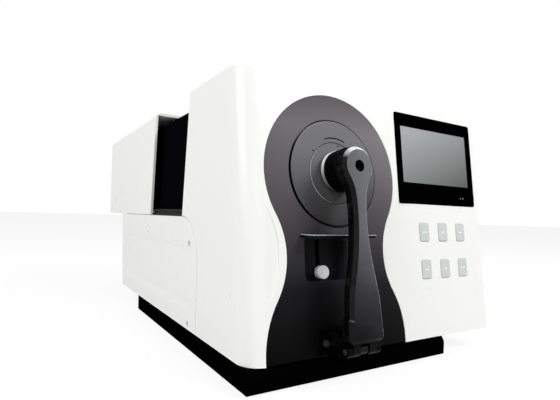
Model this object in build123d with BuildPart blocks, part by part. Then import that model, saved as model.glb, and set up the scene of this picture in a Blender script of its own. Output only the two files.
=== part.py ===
from build123d import *
import math
import os

# Benchtop colour matching spectrophotometer with a sliding chamber lid and a swing-out sample arm.
# Millimetres, +Z up. The front faces -Y. The datum is the middle of the footprint at bench level.

# Overall sizes
BODY_W = 236.0
FRONT_W = 312.0
FRONT_LEAN = 7.45
FOOT_PROUD = 1.5
PLINTH_H = 19.8
BODY_H = 252.3
DECK_H = 118.7
WALL = 3.0
HOOD_DEPTH = 162.2
NECK_LENGTH = 49.2
SEAM_DEPTH = HOOD_DEPTH - NECK_LENGTH
REAR_LENGTH = 468.0
REAR_LEAN = 5.8
PLINTH_L = 360.0
LID_LENGTH = 297.4
LID_TRAVEL = 128.7
LID_GAP = 0.4
LID_REAR_LEAN = 4.0
SEAM_GAP = 0.6
SEAM_ARC_R = 47.0
ARM_FACE_OUT = 34.5
ARM_FOOT_S = 14.0
ARM_BEVEL = 3.0
FACE_LENGTH = BODY_H / math.cos(math.radians(FRONT_LEAN))

# Datum and shared levels
LEAN = math.radians(FRONT_LEAN)
ARM_REACH = ARM_FACE_OUT * math.cos(LEAN) - (ARM_FOOT_S + ARM_BEVEL) * math.sin(LEAN)
X_LEFT = -FRONT_W / 2
Y_FRONT = -(HOOD_DEPTH + LID_TRAVEL + LID_LENGTH - ARM_REACH) / 2
CASE_Z = FOOT_PROUD + PLINTH_H
TOP_Z = CASE_Z + BODY_H
DECK_Z = CASE_Z + DECK_H
Y_SEAM = Y_FRONT + SEAM_DEPTH
Y_HOOD = Y_FRONT + HOOD_DEPTH
Y_REAR = Y_FRONT + REAR_LENGTH

os.makedirs("parts", exist_ok=True)


def face_plane(x=0.0, s=0.0, n=0.0):
    """Plane on the leaning front: x from the left side, s up the slope, n outwards."""
    y = Y_FRONT + s * math.sin(LEAN) - n * math.cos(LEAN)
    z = CASE_Z + s * math.cos(LEAN) + n * math.sin(LEAN)
    return Plane(origin=(X_LEFT + x, y, z), x_dir=(1, 0, 0), z_dir=(0, -math.cos(LEAN), math.sin(LEAN)))


def face_y(z, n=0.0):
    """Y of the leaning front, moved outwards by n, at a height."""
    return Y_FRONT + (z - CASE_Z) * math.tan(LEAN) - n / math.cos(LEAN)


def hood_y(z):
    """Y of the parting plane between the front housing and the closed lid, at a height."""
    return Y_HOOD - (z - DECK_Z) * math.tan(LEAN)


def block(x, y, z, corner_r=0.0):
    """Upright block between limits: x from the left side, y behind the front edge, z above the bench."""
    with BuildPart() as solid:
        with BuildSketch(Plane(origin=(X_LEFT + sum(x) / 2, Y_FRONT + sum(y) / 2, z[0]))) as plan:
            Rectangle(x[1] - x[0], y[1] - y[0])
            if corner_r:
                fillet(plan.vertices(), corner_r)
        extrude(amount=z[1] - z[0])
    return solid.part


def rod(radius, start, end, bore=0.0):
    """Round bar or tube between two points, each x from the left side, y behind the front edge and z."""
    first = Vector(X_LEFT + start[0], Y_FRONT + start[1], start[2])
    last = Vector(X_LEFT + end[0], Y_FRONT + end[1], end[2])
    with BuildPart() as solid:
        with BuildSketch(Plane(origin=first, z_dir=last - first)):
            Circle(radius)
            if bore:
                Circle(bore, mode=Mode.SUBTRACT)
        extrude(amount=(last - first).length)
    return solid.part


def face_block(x, s, n, corner_r=0.0):
    """Block on the leaning front between limits: x from the left side, s up the slope, n outwards."""
    with BuildPart() as solid:
        with BuildSketch(face_plane(sum(x) / 2, sum(s) / 2, n[0])) as plan:
            Rectangle(x[1] - x[0], s[1] - s[0])
            if corner_r:
                fillet(plan.vertices(), corner_r)
        extrude(amount=n[1] - n[0])
    return solid.part


def face_rod(radius, x, s, n, bore=0.0):
    """Round bar or ring square to the leaning front, between two values of n."""
    with BuildPart() as solid:
        with BuildSketch(face_plane(x, s, n[0])):
            Circle(radius)
            if bore:
                Circle(bore, mode=Mode.SUBTRACT)
        extrude(amount=n[1] - n[0])
    return solid.part


def side_prism(points, x):
    """Solid with an outline in y and z, y behind the front edge, between two distances from the left side."""
    with BuildPart() as solid:
        with BuildSketch(Plane.YZ.offset(X_LEFT + x[0])):
            with BuildLine():
                Polyline([(Y_FRONT + y, z) for y, z in points], close=True)
            make_face()
        extrude(amount=x[1] - x[0])
    return solid.part


def side_plane(x, s, n):
    """Plane square to X at a place on the leaning front: n along its first axis, s along its second."""
    place = face_plane(x, s, n)
    return Plane(origin=place.origin, x_dir=place.z_dir, z_dir=(-1, 0, 0))


def save(piece, label):
    """Name a finished piece and write its file."""
    piece.part.label = label
    export_step(piece.part, f"parts/{label}.step")


# Plinth and feet
FOOT_R = 12.0
FOOT_INSET = 26.0
FOOT_T = 5.0
FOOT_BOSS = 2.0
PLINTH_WALL = 5.0
PLINTH_REAR_R = 14.0
PLINTH_REAR_WALL = 11.0
PLINTH_EDGE_R = 9.0
FOOT_DRAFT = 8.0

foot_top = Plane(origin=(X_LEFT + BODY_W / 2, Y_FRONT + PLINTH_L / 2, FOOT_T))

with BuildPart() as base_plinth:
    add(block((0, BODY_W), (0, PLINTH_L), (FOOT_PROUD, CASE_Z)))
    fillet(base_plinth.faces().sort_by(Axis.Y)[-1].edges().filter_by(Axis.Z), PLINTH_REAR_R)
    with BuildSketch(Plane.YZ.offset(X_LEFT)) as profile:
        with Locations((Y_FRONT + PLINTH_L / 2, (FOOT_PROUD + CASE_Z) / 2)):
            Rectangle(PLINTH_L, PLINTH_H)
        fillet(profile.vertices().group_by(Axis.Y)[-1].sort_by(Axis.Z)[0], PLINTH_EDGE_R)
    extrude(amount=BODY_W, mode=Mode.INTERSECT)
    add(block((PLINTH_WALL, BODY_W - PLINTH_WALL), (PLINTH_WALL, PLINTH_L - PLINTH_REAR_WALL),
              (FOOT_PROUD, CASE_Z - PLINTH_WALL)), mode=Mode.SUBTRACT)
    with BuildSketch(foot_top):
        with GridLocations(BODY_W - 2 * FOOT_INSET, PLINTH_L - 2 * FOOT_INSET, 2, 2):
            Circle(FOOT_R + FOOT_BOSS)
    extrude(amount=CASE_Z - PLINTH_WALL - FOOT_T)
save(base_plinth, "base_plinth")

with BuildPart() as rubber_feet:
    with BuildSketch(foot_top):
        with GridLocations(BODY_W - 2 * FOOT_INSET, PLINTH_L - 2 * FOOT_INSET, 2, 2):
            Circle(FOOT_R)
    extrude(amount=-FOOT_T, taper=FOOT_DRAFT)
save(rubber_feet, "rubber_feet")

# Hourglass of the dark front panel: an upper circle, two waist arcs and a flared foot, about one axis
PORT_X = 97.3
GLASS_TOP = 16.25
GLASS_R = 75.7
PORT_ABOVE = 1.5
WAIST_X = 128.5
WAIST_S = 89.3
FLARE_R = 90.0
FLARE_HALF = 80.0
GLASS_S = FACE_LENGTH - GLASS_TOP - GLASS_R
PORT_S = GLASS_S + PORT_ABOVE


def hourglass_line(grow, low):
    """Closed outline of the hourglass, grown by a margin and ended at a height on the slope."""
    waist_r = math.hypot(WAIST_X, GLASS_S - WAIST_S) - GLASS_R
    flare_x = FLARE_HALF - FLARE_R
    flare_s = WAIST_S - math.sqrt((waist_r + FLARE_R) ** 2 - (WAIST_X - flare_x) ** 2)
    join = math.atan2(GLASS_S - WAIST_S, -WAIST_X)
    foot = math.atan2(flare_s - WAIST_S, flare_x - WAIST_X) + 2 * math.pi

    def on_waist(angle):
        return (WAIST_X + (waist_r - grow) * math.cos(angle), WAIST_S + (waist_r - grow) * math.sin(angle))

    turn = (foot - math.pi) / 2
    flare = (flare_x + (FLARE_R + grow) * math.cos(turn), flare_s + (FLARE_R + grow) * math.sin(turn))
    corner = (FLARE_HALF + grow, low)
    straight = (FLARE_HALF + grow, flare_s)
    right = [corner, straight, flare, on_waist(foot), on_waist((join + foot) / 2), on_waist(join)]
    left = [(-x, s) for x, s in right]
    with BuildLine() as outline:
        Line(right[0], right[1])
        ThreePointArc(right[1], right[2], right[3])
        ThreePointArc(right[3], right[4], right[5])
        ThreePointArc(right[5], (0, GLASS_S + GLASS_R + grow), left[5])
        ThreePointArc(left[5], left[4], left[3])
        ThreePointArc(left[3], left[2], left[1])
        Line(left[1], left[0])
        Line(left[0], right[0])
    return outline.line


def hourglass_plate(grow, low, n, thick):
    """Plate of the hourglass outline that starts at n and goes inwards."""
    with BuildPart() as plate:
        with BuildSketch(face_plane(PORT_X, 0, n)):
            with BuildLine():
                add(hourglass_line(grow, low))
            make_face()
        extrude(amount=-thick)
    return plate.part


# White front housing
CORNER_R = 20.0
EDGE_R = 4.0
CHEEK_R = 72.1
CHEEK_X = -38.0
CHEEK_S = 91.4
CHEEK_DEPTH = 1.2
CHEEK_FADE = 41.0
BEZEL_GAP = 7.2
BEZEL_RIGHT = 6.0
BEZEL_TOP = 17.4
BEZEL_H = 97.3
BEZEL_X0 = PORT_X + GLASS_R + BEZEL_GAP
BEZEL_X1 = FRONT_W - BEZEL_RIGHT
BEZEL_S1 = FACE_LENGTH - BEZEL_TOP
BEZEL_S0 = BEZEL_S1 - BEZEL_H
BEZEL_R = 3.0
BEZEL_SINK = 1.5
BEZEL_PROUD = 0.8
BEZEL_FIT = 0.15
BEZEL_LEDGE = 5.0
BUTTON_W = 14.4
BUTTON_H = 19.6
BUTTON_R = 2.0
BUTTON_PROUD = 0.9
BUTTON_FIT = 0.25
BUTTON_FLANGE = 1.5
BUTTON_PITCH_X = 30.0
BUTTON_PITCH_S = 39.5
BUTTONS_SHIFT = 2.2
BUTTONS_DROP = 49.5
BUTTON_EDGE_R = 0.6
BOARD_N = -7.0
BOARD_S = 68.0
POST_R = 3.0

bezel_w = BEZEL_X1 - BEZEL_X0
bezel_h = BEZEL_S1 - BEZEL_S0
bezel_x = (BEZEL_X0 + BEZEL_X1) / 2
bezel_s = (BEZEL_S0 + BEZEL_S1) / 2
buttons_x = bezel_x + BUTTONS_SHIFT
buttons_s = BEZEL_S0 - BUTTONS_DROP


def front_block(inset, corner_r, back):
    """Wedge of the front housing, set in on every outer face, with its rounded left corner."""
    low = CASE_Z + inset
    high = TOP_Z - inset
    with BuildPart() as block:
        with BuildSketch(Plane.YZ.offset(X_LEFT + inset)):
            with BuildLine():
                Polyline((face_y(low, -inset), low), (back, low), (back, high), (face_y(high, -inset), high),
                         close=True)
            make_face()
        extrude(amount=FRONT_W - 2 * inset)
        fillet(block.faces().sort_by(Axis.Y)[0].edges().sort_by(Axis.X)[0], corner_r)
    return block.part


def cheek(centre_x, deep_x, fade_x):
    """Scoop within an arc beside the waist, deepest at the arc and fading out at fade_x."""
    start = face_plane(deep_x, CHEEK_S - CHEEK_R, 0)
    away = fade_x - deep_x
    with BuildPart() as scoop:
        with BuildSketch(Plane(origin=start.origin, x_dir=(1, 0, 0), z_dir=start.y_dir)):
            with BuildLine():
                Polyline((0, -1), (0, CHEEK_DEPTH), (away, 0), (away, -1), close=True)
            make_face()
        extrude(amount=2 * CHEEK_R)
        with BuildSketch(face_plane(centre_x, CHEEK_S, 2 * CHEEK_DEPTH)):
            Circle(CHEEK_R)
        extrude(amount=-4 * CHEEK_DEPTH, mode=Mode.INTERSECT)
    return scoop.part


with BuildPart() as front_housing:
    add(front_block(0, CORNER_R, Y_SEAM))
    with BuildSketch(Plane.YZ.offset(X_LEFT)):
        with BuildLine():
            Polyline((Y_SEAM, DECK_Z - SEAM_ARC_R), (Y_SEAM, TOP_Z), (hood_y(TOP_Z), TOP_Z), (Y_HOOD, DECK_Z),
                     (Y_SEAM + SEAM_ARC_R, DECK_Z))
            RadiusArc((Y_SEAM + SEAM_ARC_R, DECK_Z), (Y_SEAM, DECK_Z - SEAM_ARC_R), -SEAM_ARC_R)
        make_face()
    extrude(amount=BODY_W)
    rim = front_housing.faces().sort_by(Axis.Z)[-1].edges()
    fillet(rim.filter_by(lambda e: e.center().Y < Y_SEAM - 1 or e.center().X < X_LEFT + 1), EDGE_R)
    add(front_block(WALL, CORNER_R - WALL, Y_SEAM - WALL), mode=Mode.SUBTRACT)
    with BuildSketch(Plane.YZ.offset(X_LEFT + WALL)):
        with BuildLine():
            Polyline((Y_SEAM - 2 * WALL, CASE_Z + WALL), (Y_SEAM + WALL, CASE_Z + WALL),
                     (Y_HOOD + WALL, DECK_Z - WALL),
                     (hood_y(TOP_Z) + WALL, TOP_Z - WALL), (Y_SEAM - 2 * WALL, TOP_Z - WALL), close=True)
        make_face()
    extrude(amount=BODY_W - 2 * WALL, mode=Mode.SUBTRACT)
    add(hourglass_plate(0, -WALL, WALL, 3 * WALL), mode=Mode.SUBTRACT)
    add(cheek(CHEEK_X, CHEEK_X + CHEEK_R, CORNER_R), mode=Mode.SUBTRACT)
    right_x = 2 * PORT_X - CHEEK_X
    add(cheek(right_x, right_x - CHEEK_R, right_x - CHEEK_R + CHEEK_FADE), mode=Mode.SUBTRACT)
    with BuildSketch(face_plane(bezel_x, bezel_s, WALL)):
        RectangleRounded(bezel_w, bezel_h, BEZEL_R)
    extrude(amount=-WALL - BEZEL_SINK, mode=Mode.SUBTRACT)
    with BuildSketch(face_plane(bezel_x, bezel_s, WALL)):
        Rectangle(bezel_w - 2 * BEZEL_LEDGE, bezel_h - 2 * BEZEL_LEDGE)
    extrude(amount=-3 * WALL, mode=Mode.SUBTRACT)
    with BuildSketch(face_plane(buttons_x, buttons_s, WALL)):
        with GridLocations(BUTTON_PITCH_X, BUTTON_PITCH_S, 3, 2):
            RectangleRounded(BUTTON_W + 2 * BUTTON_FIT, BUTTON_H + 2 * BUTTON_FIT, BUTTON_R + BUTTON_FIT)
    extrude(amount=-3 * WALL, mode=Mode.SUBTRACT)
    with BuildSketch(face_plane(buttons_x, buttons_s, -WALL)):
        with GridLocations(BUTTON_PITCH_X, BOARD_S - 2 * POST_R, 2, 2):
            Circle(POST_R)
    extrude(amount=BOARD_N + WALL)
save(front_housing, "front_housing")

# Dark front panel with its measurement port, pocket and shelf
PANEL_FIT = 0.3
PANEL_SINK = 0.3
PANEL_BACK = 2.0
PANEL_LAP = 3.0
PANEL_LOW = 0.8
PANEL_CLIP = 76.0
DISC_R = 49.0
DISC_GAP = 1.8
DISC_DEPTH = 2.5
DISC_PROUD = 1.2
RING_R = 28.6
RING_FIT = 0.6
COLLAR_R = 17.5
COLLAR_N = 5.0
APERTURE_R = 15.0
PORT_BASE_R = 40.0
PORT_BASE_T = 3.0
POCKET_X0 = 59.5
POCKET_X1 = 107.5
POCKET_S0 = 65.5
POCKET_S1 = 106.0
POCKET_R = 6.0
POCKET_DEPTH = 14.0
POCKET_WALL = 2.0
SELECT_X = 83.6
SLOT_W = 5.2
SLOT_S0 = 68.5
SLOT_S1 = 104.0

panel_back_n = -WALL - PANEL_BACK
pocket_x = (POCKET_X0 + POCKET_X1) / 2
pocket_s = (POCKET_S0 + POCKET_S1) / 2
pocket_w = POCKET_X1 - POCKET_X0
pocket_h = POCKET_S1 - POCKET_S0

with BuildPart() as front_panel:
    add(hourglass_plate(PANEL_LAP, WALL + PANEL_FIT, -WALL, PANEL_BACK))
    with BuildSketch(face_plane(PORT_X, 0, 0)):
        Rectangle(2 * PANEL_CLIP, 4 * GLASS_S)
    extrude(amount=2 * panel_back_n, mode=Mode.INTERSECT)
    add(hourglass_plate(-PANEL_FIT, PANEL_LOW, -PANEL_SINK, WALL - PANEL_SINK))
    with BuildSketch(face_plane(PORT_X, PORT_S, 0)):
        Circle(DISC_R + DISC_GAP)
    extrude(amount=-DISC_DEPTH, mode=Mode.SUBTRACT)
    with BuildSketch(face_plane(PORT_X, PORT_S, 0)):
        Circle(RING_R + RING_FIT)
    with BuildSketch(face_plane(pocket_x, pocket_s, 0)):
        RectangleRounded(pocket_w, pocket_h, POCKET_R)
    extrude(amount=2 * panel_back_n, mode=Mode.SUBTRACT)
save(front_panel, "front_panel")

NOTCH_R = 33.2
NOTCH_W = 1.1
NOTCH_ARC = 40.0
NOTCH_ANGLE = 88.0
DISC_EDGE = 0.4
PIN_HOLE_R = 0.8
PIN_HOLE_DEPTH = 1.5
PIN_IN_DISC = (31.0, 142.0)
PIN_IN_RING = (26.6, 79.5)


def pin_hole(place):
    """Blind pin hole at a radius and an angle about the port's axis."""
    reach, angle = place
    return face_rod(PIN_HOLE_R, PORT_X + reach * math.cos(math.radians(angle)),
                    PORT_S + reach * math.sin(math.radians(angle)), (DISC_PROUD - PIN_HOLE_DEPTH, DISC_PROUD))


with BuildPart() as port_disc:
    add(face_rod(DISC_R, PORT_X, PORT_S, (-DISC_DEPTH, DISC_PROUD), RING_R + RING_FIT))
    with BuildSketch(face_plane(PORT_X, PORT_S, DISC_PROUD)):
        with BuildLine() as notch:
            CenterArc((0, 0), NOTCH_R, NOTCH_ANGLE - NOTCH_ARC / 2, NOTCH_ARC)
        SlotArc(notch.edge(), NOTCH_W)
    extrude(amount=-DISC_DEPTH, mode=Mode.SUBTRACT)
    rims = port_disc.faces().sort_by(Axis.Y)[0].edges().filter_by(GeomType.CIRCLE).sort_by(SortBy.LENGTH)
    chamfer(rims[-1], DISC_EDGE)
    add(pin_hole(PIN_IN_DISC), mode=Mode.SUBTRACT)
save(port_disc, "port_disc")

with BuildPart() as aperture_ring:
    add(face_rod(RING_R, PORT_X, PORT_S, (panel_back_n, DISC_PROUD)))
    chamfer(aperture_ring.faces().sort_by(Axis.Y)[0].edges(), DISC_EDGE)
    add(face_rod(COLLAR_R, PORT_X, PORT_S, (DISC_PROUD, COLLAR_N)))
    add(face_rod(APERTURE_R, PORT_X, PORT_S, (panel_back_n, COLLAR_N)), mode=Mode.SUBTRACT)
    add(pin_hole(PIN_IN_RING), mode=Mode.SUBTRACT)
save(aperture_ring, "aperture_ring")

# Sample pocket with the knob that selects the aperture, and the shelf above it
SELECT_PLATE_W = 14.0
SELECT_PLATE_H = 16.0
SELECT_PLATE_T = 2.0
SELECT_STEM_FIT = 0.4
KNOB_R = 7.0
KNOB_S = 73.2
KNOB_N = -11.5
KNOB_T = 6.0
SELECT_PLATE_R = 2.0
INDEX_S = 96.5
INDEX_SIZE = (8.0, 7.0)
INDEX_R = 1.0
SHELF_X0 = 56.0
SHELF_X1 = 136.5
SHELF_EDGE = 0.6
SHELF_H = 106.7
SHELF_T = 3.0
SHELF_OUT = 15.0
SHELF_R = 8.0

pocket_back_n = -POCKET_DEPTH - POCKET_WALL

with BuildPart() as pocket_liner:
    with BuildSketch(face_plane(pocket_x, pocket_s, panel_back_n)):
        RectangleRounded(pocket_w + 2 * POCKET_WALL, pocket_h + 2 * POCKET_WALL, POCKET_R + POCKET_WALL)
    extrude(amount=pocket_back_n - panel_back_n)
    with BuildSketch(face_plane(pocket_x, pocket_s, panel_back_n)):
        RectangleRounded(pocket_w, pocket_h, POCKET_R)
    extrude(amount=-POCKET_DEPTH - panel_back_n, mode=Mode.SUBTRACT)
    with BuildSketch(face_plane(SELECT_X, (SLOT_S0 + SLOT_S1) / 2, 0)):
        SlotOverall(SLOT_S1 - SLOT_S0, SLOT_W, rotation=90)
    extrude(amount=2 * pocket_back_n, mode=Mode.SUBTRACT)
    with BuildSketch(face_plane(POCKET_X1 - POCKET_DEPTH / 2, INDEX_S, 0)):
        RectangleRounded(*INDEX_SIZE, INDEX_R)
    extrude(amount=-POCKET_DEPTH - POCKET_WALL / 2, mode=Mode.SUBTRACT)
save(pocket_liner, "pocket_liner")

with BuildPart() as selector_slide:
    with BuildSketch(face_plane(SELECT_X, KNOB_S, pocket_back_n)):
        RectangleRounded(SELECT_PLATE_W, SELECT_PLATE_H, SELECT_PLATE_R)
    extrude(amount=-SELECT_PLATE_T)
    with BuildSketch(face_plane(SELECT_X, KNOB_S, pocket_back_n)):
        Circle(SLOT_W / 2 - SELECT_STEM_FIT)
    extrude(amount=KNOB_N - pocket_back_n)
save(selector_slide, "selector_slide")

with BuildPart() as selector_knob:
    add(face_rod(KNOB_R, SELECT_X, KNOB_S, (KNOB_N, KNOB_N + KNOB_T)))
    fillet(selector_knob.faces().sort_by(Axis.Y)[0].edges(), KNOB_T / 2)
    fillet(selector_knob.faces().sort_by(Axis.Y)[-1].edges(), KNOB_T / 6)
save(selector_knob, "selector_knob")

shelf_top = CASE_Z + SHELF_H
with BuildPart() as sample_shelf:
    with BuildSketch(Plane.YZ.offset(X_LEFT + SHELF_X0)):
        with BuildLine():
            Polyline((face_y(shelf_top, -PANEL_SINK), shelf_top),
                     (face_y(shelf_top, -PANEL_SINK) - SHELF_OUT, shelf_top),
                     (face_y(shelf_top, -PANEL_SINK) - SHELF_OUT, shelf_top - SHELF_T),
                     (face_y(shelf_top - SHELF_T, -PANEL_SINK), shelf_top - SHELF_T), close=True)
        make_face()
    extrude(amount=SHELF_X1 - SHELF_X0)
    fillet(sample_shelf.edges().filter_by(Axis.Z), SHELF_R)
    rim = sample_shelf.faces().sort_by(Axis.Z)[-1].edges()
    chamfer(rim.filter_by(lambda e: e.center().Y < face_y(shelf_top) - 1), SHELF_EDGE)
save(sample_shelf, "sample_shelf")

# Swing arm that holds the sample against the port
ARM_T = 10.5
ARM_HEAD_R = 17.4
ARM_HOLE_R = 5.2
ARM_HOLE_DEPTH = 6.0
HUB_R = 19.0
PAD_R = 19.5
PAD_T = 3.6
PAD_BORE_R = 14.0
PAD_BORE_DEPTH = 1.8
PIVOT_N = ARM_FACE_OUT - ARM_T
PIVOT_S = 7.5
PIVOT_R = 2.5
PIVOT_FIT = 0.05
KNUCKLE_R = 5.0
KNUCKLE_HALF = 13.0
SPRING_SLOT = 5.0
EAR_T = 5.0
EAR_GAP = 0.4
BRACKET_T = 4.0
HEAD_JOIN = 28.0
ARM_HALVES = ((19.2, 0.0), (18.2, 0.12), (16.8, 0.24), (13.4, 0.3633), (9.4, 0.5133), (7.6, 0.6533),
              (7.8, 0.7867), (10.6, 0.8867))

pad_n = COLLAR_N
arm_back_n = ARM_FACE_OUT - ARM_T
arm_length = PORT_S - ARM_FOOT_S
head_join = math.radians(-HEAD_JOIN)

with BuildPart() as sample_arm:
    with BuildSketch(face_plane(PORT_X, 0, ARM_FACE_OUT)):
        with BuildLine():
            shoulder = (ARM_HEAD_R * math.cos(head_join), PORT_S + ARM_HEAD_R * math.sin(head_join))
            turn = (math.sin(head_join), -math.cos(head_join))
            right = [(half, ARM_FOOT_S + share * arm_length) for half, share in ARM_HALVES] + [shoulder]
            left = [(-x, s) for x, s in reversed(right)]
            Spline(*right, tangents=[(0, 1), (-turn[0], -turn[1])])
            ThreePointArc(shoulder, (0, PORT_S + ARM_HEAD_R), left[0])
            Spline(*left, tangents=[(-turn[0], turn[1]), (0, -1)])
            Line(left[-1], right[0])
        make_face()
    extrude(amount=-ARM_T)
    chamfer(sample_arm.faces().sort_by(Axis.Y)[0].edges(), ARM_BEVEL)
    with BuildSketch(face_plane(PORT_X, PORT_S, ARM_FACE_OUT)):
        Circle(ARM_HOLE_R)
    extrude(amount=-ARM_HOLE_DEPTH, mode=Mode.SUBTRACT)
    with BuildSketch(side_plane(PORT_X + KNUCKLE_HALF, PIVOT_S, PIVOT_N)):
        Circle(KNUCKLE_R)
        with Locations((0, (ARM_FOOT_S + KNUCKLE_R - PIVOT_S) / 2)):
            Rectangle(2 * KNUCKLE_R, ARM_FOOT_S + KNUCKLE_R - PIVOT_S)
    extrude(amount=2 * KNUCKLE_HALF)
    with BuildSketch(side_plane(PORT_X + KNUCKLE_HALF, PIVOT_S, PIVOT_N)):
        Circle(PIVOT_R + PIVOT_FIT)
    extrude(amount=2 * KNUCKLE_HALF, mode=Mode.SUBTRACT)
    with BuildSketch(side_plane(PORT_X + SPRING_SLOT, PIVOT_S, PIVOT_N)):
        with Locations((0, -KNUCKLE_R)):
            Rectangle(4 * KNUCKLE_R, 4 * KNUCKLE_R)
    extrude(amount=2 * SPRING_SLOT, mode=Mode.SUBTRACT)
save(sample_arm, "sample_arm")

HUB_EDGE = 0.8

with BuildPart() as arm_hub:
    add(face_rod(HUB_R, PORT_X, PORT_S, (pad_n + PAD_T, arm_back_n)))
    chamfer(arm_hub.faces().sort_by(Axis.Y)[0].edges(), HUB_EDGE)
save(arm_hub, "arm_hub")

with BuildPart() as sample_pad:
    add(face_rod(PAD_R, PORT_X, PORT_S, (pad_n, pad_n + PAD_T)))
    add(face_rod(PAD_BORE_R, PORT_X, PORT_S, (pad_n, pad_n + PAD_BORE_DEPTH)), mode=Mode.SUBTRACT)
save(sample_pad, "sample_pad")

ARM_SCREW_R = 4.4
ARM_SCREW_HEAD = 3.0
ARM_SCREW_KEY_R = 2.4
ARM_SCREW_KEY_DEPTH = 2.0

hole_floor_n = ARM_FACE_OUT - ARM_HOLE_DEPTH
with BuildPart() as arm_screw:
    add(face_rod(ARM_SCREW_R, PORT_X, PORT_S, (hole_floor_n, hole_floor_n + ARM_SCREW_HEAD)))
    with BuildSketch(face_plane(PORT_X, PORT_S, hole_floor_n + ARM_SCREW_HEAD)):
        RegularPolygon(ARM_SCREW_KEY_R, 6)
    extrude(amount=-ARM_SCREW_KEY_DEPTH, mode=Mode.SUBTRACT)
save(arm_screw, "arm_screw")

EAR_X = KNUCKLE_HALF + EAR_GAP
BRACKET_HALF = 26.0
BRACKET_S0 = 1.0
BRACKET_S1 = 24.0
BRACKET_R = 1.5
EAR_DROP = 2.0
SCREW_HEAD_R = 3.2
SCREW_HEAD_T = 1.5
SCREW_R = 1.5
SCREW_L = 8.0

bracket_face = BRACKET_T - PANEL_SINK
screw_x = (EAR_X + EAR_T + BRACKET_HALF) / 2

with BuildPart() as arm_bracket:
    add(face_block((PORT_X - BRACKET_HALF, PORT_X + BRACKET_HALF), (BRACKET_S0, BRACKET_S1),
                   (-PANEL_SINK, bracket_face), BRACKET_R))
    for ear_side in (-EAR_X, EAR_X + EAR_T):
        with BuildSketch(side_plane(PORT_X + ear_side, PIVOT_S, PIVOT_N)):
            Circle(KNUCKLE_R)
            with BuildLine():
                Polyline((0, KNUCKLE_R), (0, -KNUCKLE_R), (bracket_face - PIVOT_N, BRACKET_S0 - PIVOT_S),
                         (bracket_face - PIVOT_N, BRACKET_S1 - PIVOT_S - EAR_DROP), close=True)
            make_face()
            Circle(PIVOT_R, mode=Mode.SUBTRACT)
        extrude(amount=EAR_T)
    with BuildSketch(face_plane(PORT_X, (BRACKET_S0 + BRACKET_S1) / 2, bracket_face)):
        with GridLocations(2 * screw_x, 1, 2, 1):
            Circle(SCREW_R)
    extrude(amount=-BRACKET_T, mode=Mode.SUBTRACT)
save(arm_bracket, "arm_bracket")

pivot_half = EAR_X + EAR_T
with BuildPart() as arm_pivot_pin:
    with BuildSketch(side_plane(PORT_X + pivot_half, PIVOT_S, PIVOT_N)):
        Circle(PIVOT_R)
    extrude(amount=2 * pivot_half)
save(arm_pivot_pin, "arm_pivot_pin")

SPRING_WIRE = 1.0
SPRING_BORE = 2.9
SPRING_FIT = 0.3

spring_half = SPRING_SLOT - SPRING_FIT
with BuildPart() as arm_spring:
    with BuildSketch(side_plane(PORT_X + spring_half, PIVOT_S, PIVOT_N)):
        Circle(SPRING_BORE + SPRING_WIRE)
        Circle(SPRING_BORE, mode=Mode.SUBTRACT)
    extrude(amount=2 * spring_half)
save(arm_spring, "arm_spring")

# Display and buttons on the right
SCREEN_LEFT = 8.3
SCREEN_RIGHT = 9.5
SCREEN_TOP = 14.35
SCREEN_H = 60.4
SCREEN_X0 = BEZEL_X0 + SCREEN_LEFT
SCREEN_X1 = BEZEL_X1 - SCREEN_RIGHT
SCREEN_S1 = BEZEL_S1 - SCREEN_TOP
SCREEN_S0 = SCREEN_S1 - SCREEN_H
BEZEL_EDGE = 0.5
SCREEN_SINK = 0.4
LED_R = 0.9
LED_FIT = 0.1
LED_RIGHT = 25.6
LED_PITCH = 4.6
LED_UP = 9.1
MODULE_T = 8.0
MODULE_FIT = 0.8
BOARD_T = 1.6
BOARD_CORNER_R = 2.0
SWITCH_SIZE = 6.0
SWITCH_H = 1.4
BOARD_X = 88.0

led_s = BEZEL_S0 + LED_UP
led_places = (BEZEL_X1 - LED_RIGHT, BEZEL_X1 - LED_RIGHT + LED_PITCH)

with BuildPart() as display_bezel:
    add(face_block((BEZEL_X0 + BEZEL_FIT, BEZEL_X1 - BEZEL_FIT), (BEZEL_S0 + BEZEL_FIT, BEZEL_S1 - BEZEL_FIT),
                   (-BEZEL_SINK, BEZEL_PROUD), BEZEL_R - BEZEL_FIT))
    chamfer(display_bezel.faces().sort_by(Axis.Y)[0].edges(), BEZEL_EDGE)
    add(face_block((SCREEN_X0, SCREEN_X1), (SCREEN_S0, SCREEN_S1), (-BEZEL_SINK, BEZEL_PROUD)),
        mode=Mode.SUBTRACT)
    for led_x in led_places:
        add(face_rod(LED_R + LED_FIT, led_x, led_s, (-BEZEL_SINK, BEZEL_PROUD)), mode=Mode.SUBTRACT)
save(display_bezel, "display_bezel")

with BuildPart() as display_screen:
    add(face_block((SCREEN_X0, SCREEN_X1), (SCREEN_S0, SCREEN_S1), (-BEZEL_SINK, BEZEL_PROUD - SCREEN_SINK)))
save(display_screen, "display_screen")

with BuildPart() as status_leds:
    for led_x in led_places:
        add(face_rod(LED_R, led_x, led_s, (-BEZEL_SINK, BEZEL_PROUD)))
save(status_leds, "status_leds")

module_in = BEZEL_LEDGE + MODULE_FIT
with BuildPart() as display_module:
    add(face_block((BEZEL_X0 + module_in, BEZEL_X1 - module_in), (BEZEL_S0 + module_in, BEZEL_S1 - module_in),
                   (-BEZEL_SINK - MODULE_T, -BEZEL_SINK)))
save(display_module, "display_module")

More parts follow.
